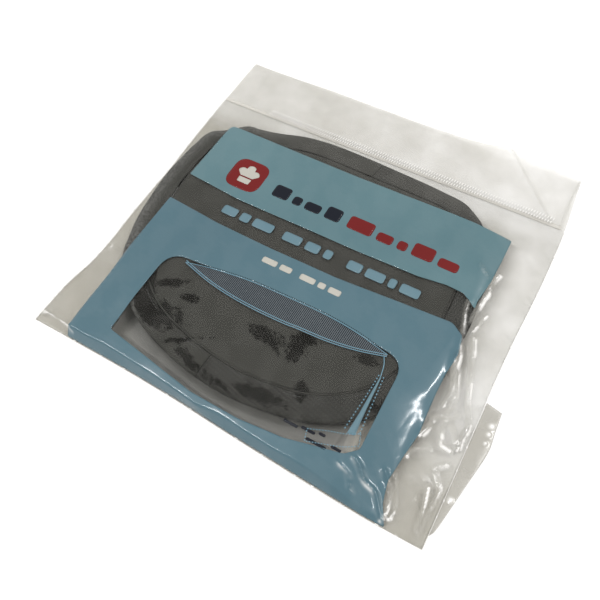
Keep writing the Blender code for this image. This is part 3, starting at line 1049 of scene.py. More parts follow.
    def weld(self, name: str, node: str, path: Array) -> Piece:
        """A weld bead along a path in plan: a flat tube whose girth swells into droplets.

        The tube's section is an ellipse, and its girth is 1 plus the positive part of a sum of
        sines along it.

        Args:
            name: the piece's name.
            node: the frame's node that it stands for.
            path: the bead's line in plan.

        Returns:
            The bead.
        """
        low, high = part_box(node)
        count, sides = 520, 8
        path = evenly(path, count)
        run = np.gradient(path, axis=0)
        run /= np.linalg.norm(run, axis=1, keepdims=True)
        side = np.stack([-run[:, 1], run[:, 0]], 1)
        turn = np.arange(sides) / sides * 2 * math.pi
        length = np.linspace(0.0, 240 * MM, count)[:, None]
        swell = np.sin(length * 700) + np.sin(length * 1270 + 2) + np.sin(length * 411 + 1)
        girth = 1.0 + 0.55 * np.clip(swell - 1.3, 0.0, None)
        out = 0.26 * MM * girth * np.cos(turn)
        up = (low.z + high.z) / 2 + 0.24 * MM * girth * np.sin(turn)
        plan = path[:, None] + side[:, None] * out[..., None]
        obj = grid_object(name, np.concatenate([plan, up[..., None]], -1), wrap_columns=True)
        obj.data.flip_normals()
        # painted highlights on the droplets
        add_field(obj, "painted_glint", np.repeat(np.clip(girth - 1, 0, 1) * 0.5, sides))
        obj.data.materials.append(self.weld_finish.build())
        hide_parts(node)
        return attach(obj, Body.POUCH.value)

    def welds(self) -> list[Piece]:
        """The three weld beads, which follow the pouch's bowed edges.

        Returns:
            The left, right and bottom beads.
        """
        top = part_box("side_weld_left")[1].y
        film = self.form
        corner_y = np.interp(0.119, *(np.array(film.low).T * MM))
        rise = np.linspace(corner_y, top, 200)
        across = np.linspace(along_knots(corner_y, film.left), along_knots(corner_y, film.right), 200)
        left = np.stack([along_knots(rise, film.left) - 0.1 * MM, rise], 1)[rise > -119 * MM]
        right = np.stack([along_knots(rise, film.right) + 0.1 * MM, rise], 1)
        bottom = np.stack([across, along_knots(across, film.low) - 0.1 * MM], 1)
        return [
            self.weld("left_weld_bead", "side_weld_left", left),
            self.weld("right_weld_bead", "side_weld_right", right),
            self.weld("bottom_weld_bead", "bottom_weld", bottom),
        ]

    def strip(self, name: str, node: str, body: Body, foot: float, finish: FilmFinish) -> Piece:
        """Half of the press-to-close strip, a long flat ribbon pressed into the film.

        Args:
            name: the piece's name.
            node: the frame's node that it stands for.
            body: the body that it rides on.
            foot: the height of its under face.
            finish: its film.

        Returns:
            The ribbon.
        """
        low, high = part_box(node)
        x = np.linspace(low.x, high.x, 60)
        corners = ((low.y, 0), (high.y, 0), (high.y, 0.12 * MM), (low.y, 0.12 * MM))
        points = [np.column_stack([x, np.full(60, y), np.full(60, foot + z)]) for y, z in corners]
        obj = grid_object(name, np.stack(points, 1), wrap_columns=True)
        obj.data.shade_flat()
        obj.data.materials.append(finish.build())
        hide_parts(node)
        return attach(obj, body.value)

    def ticks(self) -> Piece:
        """Two rows of slanting ticks pressed into the film along the press-to-close strip.

        Returns:
            The ticks as one object.
        """
        low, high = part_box("zip_groove")
        lip_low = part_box("front_lip")[0]
        count = int((high.x - low.x - 40 * MM) / self.tick_pitch)
        x = low.x + 36 * MM + self.tick_pitch * np.arange(count)
        shape, faces = grain_shape(2.6 * MM, 0.62 * MM, 0.16 * MM)
        angle = math.radians(80)
        cosine, sine = math.cos(angle), math.sin(angle)
        turn = np.array([[cosine, -sine, 0], [sine, cosine, 0], [0, 0, 1]])
        places = []
        for row, shift in enumerate((1.6, 4.4)):
            y = np.full(count, lip_low.y + shift * MM)
            spot = np.stack([x + 0.5 * row * self.tick_pitch, y, np.full(count, lip_low.z + 0.35 * MM)], -1)
            spot[:, 2] += self.lip_height(spot[:, 0], spot[:, 1])
            places.append(np.concatenate([np.repeat(turn[None], count, 0), spot[:, :, None]], 2))
        points, all_faces = stamp(shape, faces, np.concatenate(places))
        obj = make_object("strip_ticks", points, all_faces)
        obj.data.materials.append(self.tick_finish.build())
        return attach(obj, Body.LIP.value)

    def tab(self) -> Piece:
        """The loose tab: a lofted strip between the crease and its free edge, with small dents.

        Returns:
            The tab.
        """
        low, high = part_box("side_tab")
        rows, columns = 81, 17
        share = np.linspace(0.0, 1.0, rows)
        crease = np.stack([np.full(rows, low.x - 0.3 * MM), low.y + (high.y - low.y) * share], 1)
        outer = spline([(120.6, -116.6), (122.6, -111.4), (126.4, -90), (130.1, -68.4), (129.6, -57),
                        (129.0, -45.4)], False, 8) * MM
        outer = evenly(outer, rows)
        across = np.linspace(0.0, 1.0, columns)
        plan = crease[:, None] * (1 - across[None, :, None]) + outer[:, None] * across[None, :, None]
        x, y = plan[..., 0], plan[..., 1]
        dents = [(127.1, -54.3, 1.5), (127.2, -58.9, 1.1), (127.3, -64, 0.8), (123.0, -97.2, 1.3)]
        bead = sum(np.exp(-(np.hypot(x / MM - a, y / MM - b) / r) ** 2) for a, b, r in dents)
        z = 0.5 * MM + across * (0.5 * MM + 0.5 * MM * facets(x, y, 16 * MM, 31)) + 0.9 * MM * bead
        obj = grid_object("side_tab_sheet", np.stack([x, y, np.maximum(z, 0.2 * MM)], -1))
        # painted highlights on the bumps
        add_field(obj, "painted_glint", 0.30 * bead)
        add_wall(obj, self.gauge)
        obj.data.materials.append(self.tab_finish.build())
        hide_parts("side_tab")
        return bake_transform(obj)

    def build(self) -> list[Piece]:
        """Builds every piece of the pouch.

        Returns:
            The new pieces.
        """
        strip = [
            self.strip("strip_groove_ribbon", "zip_groove", Body.POUCH, 0.32 * MM, self.strip_finish),
            self.strip("strip_rib_ribbon", "zip_rib", Body.LIP, 1.50 * MM, self.weld_finish),
        ]
        sheets = [self.back_film(), self.front_film(), self.front_lip()]
        return [*sheets, *strip, *self.welds(), self.ticks(), self.tab()]


def dress(obj: Piece, material: Material) -> None:
    """Gives a frame node a new material in place of its plain one."""
    obj.data.materials.clear()
    obj.data.materials.append(material)


# ---------------------------------------------------------------------------------------------
# The printing


class Tint(Enum):
    """The inks."""

    UPPER_BLUE = "upper_blue_ink"
    LOWER_BLUE = "lower_blue_ink"
    PALE_BLUE = "pale_blue_ink"
    BAND_BLUE = "band_blue_ink"
    BLACK = "black_ink"
    RED = "red_ink"
    BEIGE = "beige_ink"
    HATCH = "dark_hatch_ink"
    SHADE = "shade_ink"


INK_TONES = {
    Tint.UPPER_BLUE: ((0.070, 0.140, 0.162), (0.096, 0.176, 0.197), 0.45),
    Tint.LOWER_BLUE: ((0.062, 0.122, 0.152), (0.068, 0.134, 0.166), 0.45),
    Tint.PALE_BLUE: ((0.125, 0.240, 0.315), (0.145, 0.265, 0.335)),
    Tint.BAND_BLUE: ((0.100, 0.175, 0.215), (0.115, 0.195, 0.230)),
    Tint.BLACK: ((0.004, 0.006, 0.012), (0.006, 0.008, 0.014)),
    Tint.RED: ((0.120, 0.008, 0.008), (0.145, 0.010, 0.010)),
    Tint.BEIGE: ((0.38, 0.37, 0.33), (0.42, 0.41, 0.37)),
    Tint.HATCH: ((0.003, 0.005, 0.009), (0.006, 0.008, 0.012)),
    Tint.SHADE: ((0.085, 0.102, 0.115), (0.105, 0.124, 0.138)),
}
INKS = {tint: InkFinish(tint.value, *tones) for tint, tones in INK_TONES.items()}


def rounded_loop(corners: Sequence[tuple[float, float, float]], step: float = 1.0) -> Array:
    """A closed outline of straight sides and rounded corners.

    Each corner is cut back by its radius times the cotangent of half its angle, and an arc joins
    the cuts, drawn as a quadratic curve.

    Args:
        corners: corner positions and radii in millimetres, in order round the outline.
        step: the spacing of the outline's points in millimetres.

    Returns:
        The outline's points in metres.
    """
    spots = np.array([corner[:2] for corner in corners], float)
    pieces = []
    for number, (x, y, radius) in enumerate(corners):
        here = np.array([x, y])
        back, ahead = spots[number - 1] - here, spots[(number + 1) % len(corners)] - here
        back_length, ahead_length = np.linalg.norm(back), np.linalg.norm(ahead)
        cosine = np.clip(back @ ahead / (back_length * ahead_length), -1, 1)
        cut = radius / math.tan(max(math.acos(cosine) / 2, 1e-3))
        cut = min(cut, 0.499 * back_length, 0.499 * ahead_length)
        start, end = here + back / back_length * cut, here + ahead / ahead_length * cut
        t = np.linspace(0, 1, 7 if radius else 1)[:, None]
        pieces.append((1 - t) ** 2 * start + 2 * t * (1 - t) * here + t**2 * end)
    outline = np.vstack(pieces)
    length = np.linalg.norm(outline - np.roll(outline, -1, 0), axis=1).sum()
    return evenly(outline, max(12, round(length / step)), closed=True) * MM


def pill(left: float, right: float, low: float, high: float, radius: float, lean: float = 0.0) -> Array:
    """A bar with rounded corners, in millimetres, that leans by a share of its height.

    Args:
        left: its left end.
        right: its right end.
        low: its foot.
        high: its top.
        radius: its corners' radius.
        lean: how far the top shifts, as a share of the height.

    Returns:
        The outline's points in metres.
    """
    shift = lean * (high - low)
    corners = ((left, low), (right, low), (right + shift, high), (left + shift, high))
    return rounded_loop([(x, y, radius) for x, y in corners], 0.8)


@dataclass
class Printing:
    """The ink on the front film: two blue blocks with a clear band and a hat-shaped window, the
    line drawing of a hat in the window, and plain marks where words would be."""

    form: FilmForm
    lift: float = 0.10 * MM
    layer_step: float = 0.05 * MM
    wall: float = 0.012 * MM
    upper_block: tuple = (
        (-94.5, 51.5, 3), (-60, 51, 0), (0, 50.5, 0), (60, 51.5, 0), (97, 51, 0.5), (97, 36, 0),
        (96.5, 18, 3), (94.6, 3, 0), (95, -2.0, 0.5), (86, 4.2, 5), (76, 4.6, 8), (60, 2.4, 0),
        (20, 1.4, 0), (-58, 1.2, 0), (-95.2, 4.2, 0.5),
    )
    lower_block: tuple = (
        (-95.4, -16.6, 0.5), (-60, -19.4, 0), (-20, -20.2, 0), (20, -19.8, 0), (70, -16.4, 0),
        (88, -15.2, 6), (95.6, -20.5, 5), (97.6, -31, 8), (96.2, -43, 8), (96, -55, 8), (96.5, -68, 8),
        (97.1, -78, 8), (95.2, -91, 8), (93.6, -105, 8), (96, -115, 8), (101, -123.6, 0.3),
        (90, -123.7, 0), (45, -122.3, 0), (7, -120.7, 0), (-20, -119.3, 0), (-54, -118.5, 0),
        (-95, -118.5, 0.3),
    )
    window: tuple = (
        (-71.5, -49.5, 13), (-42, -47.4, 30), (-12, -43.6, 60), (24, -43.0, 60), (54, -46.0, 30),
        (75.2, -47.6, 12), (75.5, -98.5, 3), (69.5, -104.2, 6), (40, -111.6, 20), (15, -114.0, 20),
        (-13, -113.9, 16), (-36, -110.6, 20), (-54, -107.9, 20), (-72.3, -105.2, 1.5),
    )
    upper_arc: tuple = ((-59.7, -51.4), (-43.6, -47.7), (-21.6, -44.6), (0, -43.6), (27.5, -43.2),
                        (45.5, -44.6), (58, -46.8), (66, -48.4))
    lower_arc: tuple = ((-59.7, -51.4), (-42.2, -55.7), (-25.5, -58.0), (-9.0, -58.8), (8.5, -58.5),
                        (17.5, -57.7), (35.0, -56.6), (50.5, -54.0), (66, -49.6))

    def on_film(self, plan: Array, layer: int = 0) -> Array:
        """Points in plan put on the film, each layer a little above the last."""
        z = self.form.height(plan[:, 0], plan[:, 1]) + self.lift + layer * self.layer_step
        return np.column_stack([plan, z])

    def patch(self, name: str, loops: list[Array], tint: Tint, layer: int = 0) -> Piece:
        """A flat shape of ink that follows the film.

        Its outline is kept exactly, the film's lattice fills it, and a constrained Delaunay
        triangulation joins the two. Triangles whose middle lies outside are left out.

        Args:
            name: the piece's name.
            loops: the outline and any holes, or several separate outlines.
            tint: the ink.
            layer: how many inks it lies on.

        Returns:
            The ink's object.
        """
        everything = np.vstack(loops)
        low, high = everything.min(0), everything.max(0)
        across, along = self.form.lattice()
        across = across[(across > low[0]) & (across < high[0])]
        along = along[(along > low[1]) & (along < high[1])]
        x, y = (side.ravel() for side in np.meshgrid(across, along))
        inner = inside_loops(x, y, loops)
        x, y = x[inner], y[inner]
        away = np.full(x.shape, np.inf)
        for loop in loops:
            away = np.minimum(away, distance_to_path(x, y, np.vstack([loop, loop[:1]])))
        lattice = np.column_stack([x, y])[away > 0.3 * MM]
        edges, first = [], 0
        for loop in loops:
            numbers = np.arange(len(loop))
            edges += (np.stack([numbers, np.roll(numbers, -1)], 1) + first).tolist()
            first += len(loop)
        plan = np.vstack([everything, lattice]) / MM
        made = delaunay_2d_cdt([Vector(point) for point in plan], edges, [], 0, 1e-5)
        points = np.array([tuple(point) for point in made[0]]) * MM
        faces = np.array([tuple(face) for face in made[2]])
        middle = points[faces].mean(1)
        faces = faces[inside_loops(middle[:, 0], middle[:, 1], loops)]
        used, numbers = np.unique(faces, return_inverse=True)
        obj = make_object(name, self.on_film(points[used], layer), numbers.reshape(-1, 3))
        if not layer:
            # painted highlights on the ink along the folds that face the lights
            add_field(obj, "painted_glint", 0.6 * self.form.folds(points[used, 0], points[used, 1])[1])
        return self.finish(obj, tint)

    def finish(self, obj: Piece, tint: Tint) -> Piece:
        """Gives ink its wall, its finish and its body.

        Args:
            obj: the ink's sheet.
            tint: the ink.

        Returns:
            The same object.
        """
        add_wall(obj, self.wall, 1.0)
        obj.data.materials.append(INKS[tint].build())
        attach(obj, Body.POUCH.value)
        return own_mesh(obj)

    def lines(
        self, name: str, paths: list[Array], width: float, tint: Tint, layer: int = 1
    ) -> Piece:
        """Ribbons of ink along paths in plan, all in one piece.

        Each path's points are moved half a width to either side along its normal.

        Args:
            name: the piece's name.
            paths: paths in metres.
            width: the lines' width in metres.
            tint: the ink.
            layer: how many inks they lie on.

        Returns:
            The ink's object.
        """
        points, faces, first = [], [], 0
        for path in paths:
            run = np.gradient(path, axis=0)
            run /= np.maximum(np.linalg.norm(run, axis=1, keepdims=True), 1e-12)
            normal = np.column_stack([-run[:, 1], run[:, 0]]) * width / 2
            grid = np.stack([path + normal, path - normal], 1)
            points.append(grid.reshape(-1, 2))
            faces.append(grid_faces(len(path), 2)[:, ::-1] + first)
            first += 2 * len(path)
        obj = make_object(name, self.on_film(np.vstack(points), layer), np.vstack(faces))
        return self.finish(obj, tint)

    def dashes(self, path: Array, pitch: float, share: float) -> list[Array]:
        """Short stretches of a path, one every pitch, each a share of the pitch long.

        Args:
            path: the path.
            pitch: the distance from stretch to stretch.
            share: each stretch's share of the pitch.

        Returns:
            The stretches, three points each.
        """
        fine = evenly(path, 2000)
        length = np.linalg.norm(np.diff(fine, axis=0), axis=1).sum()
        count = max(1, round(length / pitch))
        starts = np.arange(count) / count * 1999
        span = share / count * 1999
        ends = [fine[int(start) : max(int(start + span), int(start) + 2) + 1] for start in starts]
        return [evenly(end, 3) for end in ends if len(end) > 1]

    def curve(self, points: Plan, count: int = 120) -> Array:
        """A smooth path through points in millimetres."""
        return evenly(spline([(x * MM, y * MM) for x, y in points], False, 12), count)

    def blocks(self) -> list[Piece]:
        """The two blue blocks, which stand for the frame's plain ones.

        Returns:
            The upper and the lower block.
        """
        upper = self.patch("upper_ink_block", [rounded_loop(self.upper_block)], Tint.UPPER_BLUE)
        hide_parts("print_upper_block")
        loops = [rounded_loop(self.lower_block), rounded_loop(self.window)]
        lower = self.patch("lower_ink_block", loops, Tint.LOWER_BLUE)
        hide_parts("print_lower_block")
        return [upper, lower]

    def badge(self) -> list[Piece]:
        """A rounded red patch with a plain cook's hat: three round bumps on a tapering band.

        Returns:
            The patch and the mark on it.
        """
        x, y, half = -62.5, 20.0, 11.6
        square = ((x - half, y - half), (x + half, y - half), (x + half, y + half), (x - half, y + half))
        patch_loop = rounded_loop([(across, along, 7.5) for across, along in square], 0.8)
        turn = np.linspace(math.radians(-20), math.radians(200), 15)
        bumps = (
            (x + 4.4, y + 1.6, 2.9, turn[1:10]),
            (x, y + 4.2, 3.4, turn[4:11]),
            (x - 4.4, y + 1.6, 2.9, turn[5:14]),
        )
        crown = [(x + 4.3, y - 1.6, 0)]
        for middle_x, middle_y, radius, part in bumps:
            across, along = middle_x + radius * np.cos(part), middle_y + radius * np.sin(part)
            crown += np.stack([across, along, 0 * part], 1).tolist()
        crown.append((x - 4.3, y - 1.6, 0))
        band = (
            (x - 4.0, y - 6.6, 0.6),
            (x + 4.0, y - 6.6, 0.6),
            (x + 4.3, y - 2.6, 0.2),
            (x - 4.3, y - 2.6, 0.2),
        )
        hat_loops = [rounded_loop(crown, 0.5), rounded_loop(band, 0.5)]
        patch = self.patch("red_badge", [patch_loop], Tint.RED, 1)
        return [patch, self.patch("badge_hat_mark", hat_loops, Tint.BEIGE, 2)]

    def marks(self) -> list[Piece]:
        """Plain bars in place of words: two heading groups, a line on the clear band, a short
        line under it, and two fine lines at the foot of the window.

        Returns:
            The bars, one object a group.
        """
        heights = (22.9, 19.9, 19.9, 22.9, 19.9)
        dark = zip((-42, -28, -19.5, -6), (-31, -22, -9, 4), heights)
        red = zip((9, 28, 41, 50, 66), (25, 38, 47, 63, 78), heights)
        lefts = (-62, -49.5, -40.5, -20, -5, 7, 22, 33.5, 47.5, 54.5)
        band = zip(lefts, (-52, -43, -27, -8, 4, 12, 31, 45, 52, 66))
        item = zip((-22, -10.5, 2.5, 14, 20.5), (-12.5, -3, 12, 18.5, 28))
        foot = (
            (36, 44, -104.6), (45.5, 53, -103.4), (54.5, 58, -102.0), (50, 61, -107.2),
            (62.5, 68, -104.8),
        )
        rows = (
            ("heading_bars_dark", [pill(a, b, 13.5, top, 2.2) for a, b, top in dark], Tint.BLACK, 1),
            ("heading_bars_red", [pill(a, b, 13.5, top, 2.2) for a, b, top in red], Tint.RED, 1),
            ("band_bars", [pill(a, b, -11.6, -5.4, 1.6) for a, b in band], Tint.BAND_BLUE, 0),
            ("item_bars", [pill(a, b, -30.2, -26.4, 1.0) for a, b in item], Tint.BEIGE, 1),
            ("back_print_bars", [pill(a, b, low, low + 1.5, 0.3, 0.2) for a, b, low in foot], Tint.BLACK, 0),
        )
        return [self.patch(*row) for row in rows]

    def crescent(self) -> list[Piece]:
        """The drawn hat's vent: fine upright hatching on a grey ground between two arcs, a pair
        of lines along the lower arc and stitches along the upper one.

        Returns:
            The vent's pieces.
        """
        upper, lower = self.curve(self.upper_arc, 400), self.curve(self.lower_arc, 400)
        across = np.arange(-57.5, 64.0, 1.0) * MM
        top = np.interp(across, upper[:, 0], upper[:, 1])
        foot = np.interp(across, lower[:, 0], lower[:, 1])
        share = np.linspace(0.0, 1.0, 6)[None, :, None]
        starts, ends = np.column_stack([across, foot]), np.column_stack([across + 0.6 * MM, top])
        strokes = list(starts[:, None] * (1 - share) + ends[:, None] * share)
        ground = evenly(np.vstack([lower, upper[::-1]]), 300, closed=True)
        pair = [lower, lower + np.array([0, 1.25 * MM])]
        above = [path + np.array([0, 0.9 * MM]) for path in self.dashes(upper, 1.1 * MM, 0.5)]
        return [
            self.patch("vent_ground", [ground], Tint.SHADE, 0),
            self.lines("vent_hatching", strokes, 0.50 * MM, Tint.HATCH, 1),
            self.lines("vent_lower_lines", pair, 0.42 * MM, Tint.PALE_BLUE, 2),
            self.lines("vent_upper_line", [upper], 0.34 * MM, Tint.PALE_BLUE, 2),
            self.lines("vent_stitches", above, 0.50 * MM, Tint.HATCH, 1),
        ]

    def drawing(self) -> list[Piece]:
        """The drawn hat's side seam, notch and strap, with stitches beside them.

        Returns:
            The drawing's pieces.
        """
        seam = self.curve(((64.8, -50.2), (66.7, -54.2), (67.8, -59.4), (68.2, -62)), 30)
        notch = rounded_loop(
            [(67.9, -61, 0), (68.6, -61, 0), (69.6, -81, 0), (70.4, -94, 0), (66.4, -94.8, 0), (67.3, -83, 0)]
        )
        left = self.curve(((67.0, -60.5), (66.4, -72), (65.4, -84), (64.4, -94.4)), 60)
        right = self.curve(((69.6, -60.5), (70.6, -72), (71.3, -82), (72.2, -93)), 60)
        strap = ((48.5, -102.2), (58, -98.3), (66, -95.5), (72.6, -91.8), (74.4, -97.4), (68, -101.4),
                 (60.5, -104.4), (50.2, -108), (48.5, -102.2))
        outline = [self.curve(strap[start:end], 40) for start, end in ((0, 4), (3, 5), (4, 8), (7, 9))]
        stitches = [dash for side in outline for dash in self.dashes(side, 1.5 * MM, 0.5)]
        beside = self.dashes(left, 1.9 * MM, 0.42) + self.dashes(right, 1.9 * MM, 0.42)
        return [
            self.lines("drawn_seam", [seam], 0.45 * MM, Tint.PALE_BLUE, 0),
            self.patch("drawn_notch", [notch], Tint.BAND_BLUE, 0),
            self.lines("drawn_notch_stitches", beside, 0.62 * MM, Tint.PALE_BLUE, 0),
            self.lines("drawn_strap_stitches", stitches, 0.5 * MM, Tint.PALE_BLUE, 1),
        ]

    def build(self) -> list[Piece]:
        """Builds all the printing."""
        return [*self.blocks(), *self.badge(), *self.marks(), *self.crescent(), *self.drawing()]


# ---------------------------------------------------------------------------------------------
# The hat


TWILL = ClothFinish("black_twill", (0.030, 0.030, 0.027), (0.050, 0.050, 0.045), 900, 38, 0.2, 0.4)
BACK_TWILL = ClothFinish(
    "black_airtex", (0.026, 0.026, 0.024), (0.056, 0.056, 0.051), 640, 12, 0.3, 0.25, True
)
VENT = ClothFinish(
    "black_vent_mesh", (0.038, 0.038, 0.034), (0.046, 0.046, 0.041), 760, 20, 0.03, 0.3, True
)
LINING = ClothFinish("black_sweatband", (0.010, 0.010, 0.010), (0.036, 0.036, 0.034), 1100, 0, 0.5, 0.7)
TAPE = ClothFinish("black_binding", (0.032, 0.032, 0.029), (0.050, 0.050, 0.045), 1600, 45, 0.4, 0.3)
WEBBING = ClothFinish("black_strap", (0.008, 0.008, 0.008), (0.032, 0.032, 0.030), 1300, 90, 0.6, 0.3)
HOOKS = ClothFinish("black_hooks", (0.006, 0.006, 0.006), (0.040, 0.040, 0.040), 700, 0, 0.9, 0.2, True)
LOOPS = ClothFinish("black_loops", (0.010, 0.010, 0.010), (0.034, 0.034, 0.033), 1500, 20, 0.8, 0.9)
LABEL = ClothFinish("white_label", (0.62, 0.61, 0.58), (0.80, 0.79, 0.76), 2000, 0, 0.3, 0.2)
THREAD = YarnFinish("black_thread", (0.030, 0.030, 0.030))


def stitch_row(name: str, path: Array, z: float, pitch: float, body: Body) -> Piece:
    """A row of sewn stitches, one grain each.

    Args:
        name: the piece's name.
        path: the row's line in plan.
        z: the height of the stitches' middles.
        pitch: the distance from stitch to stitch.
        body: the body that they ride on.

    Returns:
        The row as one object.
    """
    length = np.linalg.norm(np.diff(path, axis=0), axis=1).sum()
    count = max(2, int(length / pitch))
    spots = evenly(path, count)
    run = np.gradient(spots, axis=0)
    run /= np.linalg.norm(run, axis=1, keepdims=True)
    turn = np.zeros((count, 3, 3))
    turn[:, :2, 0] = run
    turn[:, 0, 1], turn[:, 1, 1], turn[:, 2, 2] = -run[:, 1], run[:, 0], 1.0
    place = np.column_stack([spots, np.full(count, z)])
    shape, faces = grain_shape(0.68 * pitch, 0.34 * MM, 0.30 * MM)
    points, all_faces = stamp(shape, faces, np.concatenate([turn, place[:, :, None]], 2))
    obj = make_object(name, points, all_faces)
    obj.data.materials.append(THREAD.build())
    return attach(obj, body.value)


@dataclass
class Hat:
    """The flat hat: crown, piping, three-panel side band turned under, and its linings."""

    form: HatForm
    cloth: float = 0.7 * MM
    seam_inset: float = 14.5 * MM
    seam_length: float = 620.0 * MM
    roll: float = 5.2 * MM
    hem_inset: float = 58.0 * MM
    notch_half: tuple[float, float] = (1.2 * MM, 5.0 * MM)
    stitch_pitch: float = 2.6 * MM

    def section(self, share: Array) -> tuple[Array, Array]:
        """The side band's section: inset and height for a share from the crown seam to the hem.

        The first stretch is the top flange, the middle one the half-round roll at the outline,
        and the last the layer that turns under.

        Args:
            share: shares of the way from the crown seam to the hem.

        Returns:
            The insets and the heights.
        """
        flange, turn = 0.30, 0.48
        angle = np.clip((share - flange) / (turn - flange), 0.0, 1.0) * math.pi
        inset = self.roll * (1.0 - np.sin(angle))
        top = np.clip(1.0 - share / flange, 0.0, 1.0)
        under = np.clip((share - turn) / (1.0 - turn), 0.0, 1.0)
        inset = inset + top * (self.seam_inset - 1.0 * MM - self.roll) + under * (self.hem_inset - self.roll)
        half = (self.form.top_z - self.form.under_z) / 2
        middle = (self.form.top_z + self.form.under_z) / 2
        return inset, middle + half * np.cos(angle)

    def panel(self, name: str, node: str, start: float, end: float, finish: ClothFinish) -> Piece:
        """A panel of the side band, carried along the outline.

        The outline's point at each share round it is moved in by the section's inset. Relief
        of soft folds runs round the band.

        Args:
            name: the piece's name.
            node: the frame's node that it stands for.
            start: where it starts round the outline, as a share from the right, anticlockwise.
            end: where it ends.
            finish: its cloth.

        Returns:
            The panel.
        """
        columns = max(24, round(abs(end - start) * 420))
        rows = 46
        share = np.linspace(0.0, 1.0, rows)
        inset, height = self.section(share)
        fine = self.form.ring(0.0, 4800)
        fine = np.vstack([fine, fine[:1]])
        loop_share = np.linspace(start, end, columns)
        fine_share = np.arange(4801) / 4800
        spots = np.stack([np.interp(loop_share, fine_share, side) for side in fine.T], 1)
        middle = np.asarray(self.form.centre)
        reach = np.linalg.norm(spots - middle, axis=1)
        pull = 1.0 - inset[:, None] / reach[None, :]
        plan = middle + (spots - middle)[None] * pull[..., None]
        x, y = plan[..., 0], plan[..., 1]
        on_top = np.broadcast_to(smooth_step(-share, -0.40, -0.30)[:, None], x.shape)
        turns = loop_share * self.seam_length * 2 * math.pi
        waves = 0.20 * MM * np.sin(turns / (38 * MM)) + 0.14 * MM * np.sin(turns / (17 * MM) + 1)
        z = height[:, None] + waves[None] * on_top + 0.10 * MM * ripples(x, y, 22 * MM, 41) * on_top
        z = z + 0.10 * MM * on_top
        opening = np.abs(y - middle[1])
        half = np.interp(inset, [self.roll, self.hem_inset], self.notch_half)[:, None]
        at_notch = (x > middle[0]) & (opening < half) & (start < 0.01)
        y = np.where(at_notch, middle[1] + half, y)
        obj = grid_object(name, np.stack([x, y, z], -1))
        # grey flecks along the rolled edge, fading out towards the right-hand end
        rim_flecks = smooth_step(-inset[:, None], -11 * MM, -2 * MM) * smooth_step(-x, 40 * MM, 95 * MM)
        add_field(obj, "rim", rim_flecks)
        add_field(obj, "contact", self.form.contact_field(x, y) * on_top)
        add_wall(obj, self.cloth, 0.0)
        obj.data.materials.append(finish.build())
        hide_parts(node)
        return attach(obj, Body.HAT.value)

    def crown(self) -> Piece:
        """The vent panel: rings of points from the piping in to the centre, softly rumpled.

        Returns:
            The vent panel.
        """
        rings, count = 60, 240
        rim = self.form.ring(self.seam_inset + 0.4 * MM, count)
        middle = np.asarray(self.form.centre)
        share = np.linspace(1.0, 0.02, rings)
        x, y = np.moveaxis(middle + (rim - middle)[None] * share[:, None, None], -1, 0)
        inward = (1 - share[:, None]) * np.linalg.norm(rim - middle, axis=1)[None]
        turn = np.arange(count) * 2 * math.pi / count
        pucker = np.exp(-inward / (6 * MM)) * np.sin(turn * 46)[None]
        z = self.form.top_z - 0.25 * MM + 0.14 * MM * ripples(x, y, 34 * MM, 51) + 0.08 * MM * pucker
        points = np.stack([x, y, z], -1)[:, ::-1]
        obj = grid_object("crown_vent_cloth", points, wrap_columns=True)
        join(obj, make_object("crown_middle", points[-1], [list(range(count))]))
        mesh = obj.data
        spots = np.empty(3 * len(mesh.vertices), np.float32)
        mesh.vertices.foreach_get("co", spots)
        add_field(obj, "contact", self.form.contact_field(*spots.astype(float).reshape(-1, 3).T[:2]))
        add_wall(obj, 0.6 * MM, -1.0)
        mesh.materials.append(VENT.build())
        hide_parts("crown_vent_panel")
        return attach(obj, Body.HAT.value)

    def piping(self) -> Piece:
        """The cord in the crown seam: an eight-sided tube round the crown, gathered slightly.

        Returns:
            The cord.
        """
        count, sides = 620, 8
        turn = np.arange(sides) / sides * 2 * math.pi
        ring = self.form.ring(self.seam_inset, count)
        outward = ring - np.asarray(self.form.centre)
        outward /= np.linalg.norm(outward, axis=1, keepdims=True)
        girth = 0.80 * MM * (1 + 0.05 * np.sin(np.arange(count) * 2 * math.pi / count * 155))
        out = girth[:, None] * np.cos(turn)[None]
        up = girth[:, None] * np.sin(turn)[None]
        plan = ring[:, None] + outward[:, None] * out[..., None]
        points = np.concatenate([plan, (self.form.top_z - 0.72 * MM + up)[..., None]], -1)
        obj = grid_object("crown_piping_cord", points, wrap_rows=True, wrap_columns=True)
        obj.data.materials.append(TAPE.build())
        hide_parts("crown_piping")
        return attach(obj, Body.HAT.value)

    def seams(self) -> list[Piece]:
        """Topstitching on both sides of the crown seam.

        Returns:
            The inner and the outer row.
        """
        rows = (
            ("crown_topstitch_inner", self.seam_inset + 2.4 * MM, self.form.top_z + 0.05 * MM),
            ("crown_topstitch_outer", self.seam_inset - 2.8 * MM, self.form.top_z + 0.30 * MM),
        )
        made = []
        for name, inset, z in rows:
            ring = self.form.ring(inset)
            path = np.vstack([ring, ring[:1]])
            made.append(stitch_row(name, path, z, self.stitch_pitch, Body.HAT))
        return made

    def build(self) -> list[Piece]:
        """Builds the hat and dresses the linings that keep their frame solids.

        Returns:
            The new pieces.
        """
        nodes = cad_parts
        for node, finish in (
            ("sweatband_front", LINING), ("sweatband_back_right", LINING), ("sweatband_back_left", LINING),
            ("side_seam_tape_right", TAPE), ("side_seam_tape_left", TAPE),
            ("notch_binding_right", TAPE), ("notch_binding_left", TAPE), ("care_label", LABEL),
        ):
            dress(nodes[node], finish.build())
        return [
            self.panel("band_panel_front", "side_band_front", 0.245, 0.752, TWILL),
            self.panel("band_panel_back_right", "side_band_back_right", 0.004, 0.2445, BACK_TWILL),
            self.panel("band_panel_back_left", "side_band_back_left", 0.7525, 0.996, BACK_TWILL),
            self.crown(),
            self.piping(),
            *self.seams(),
        ]


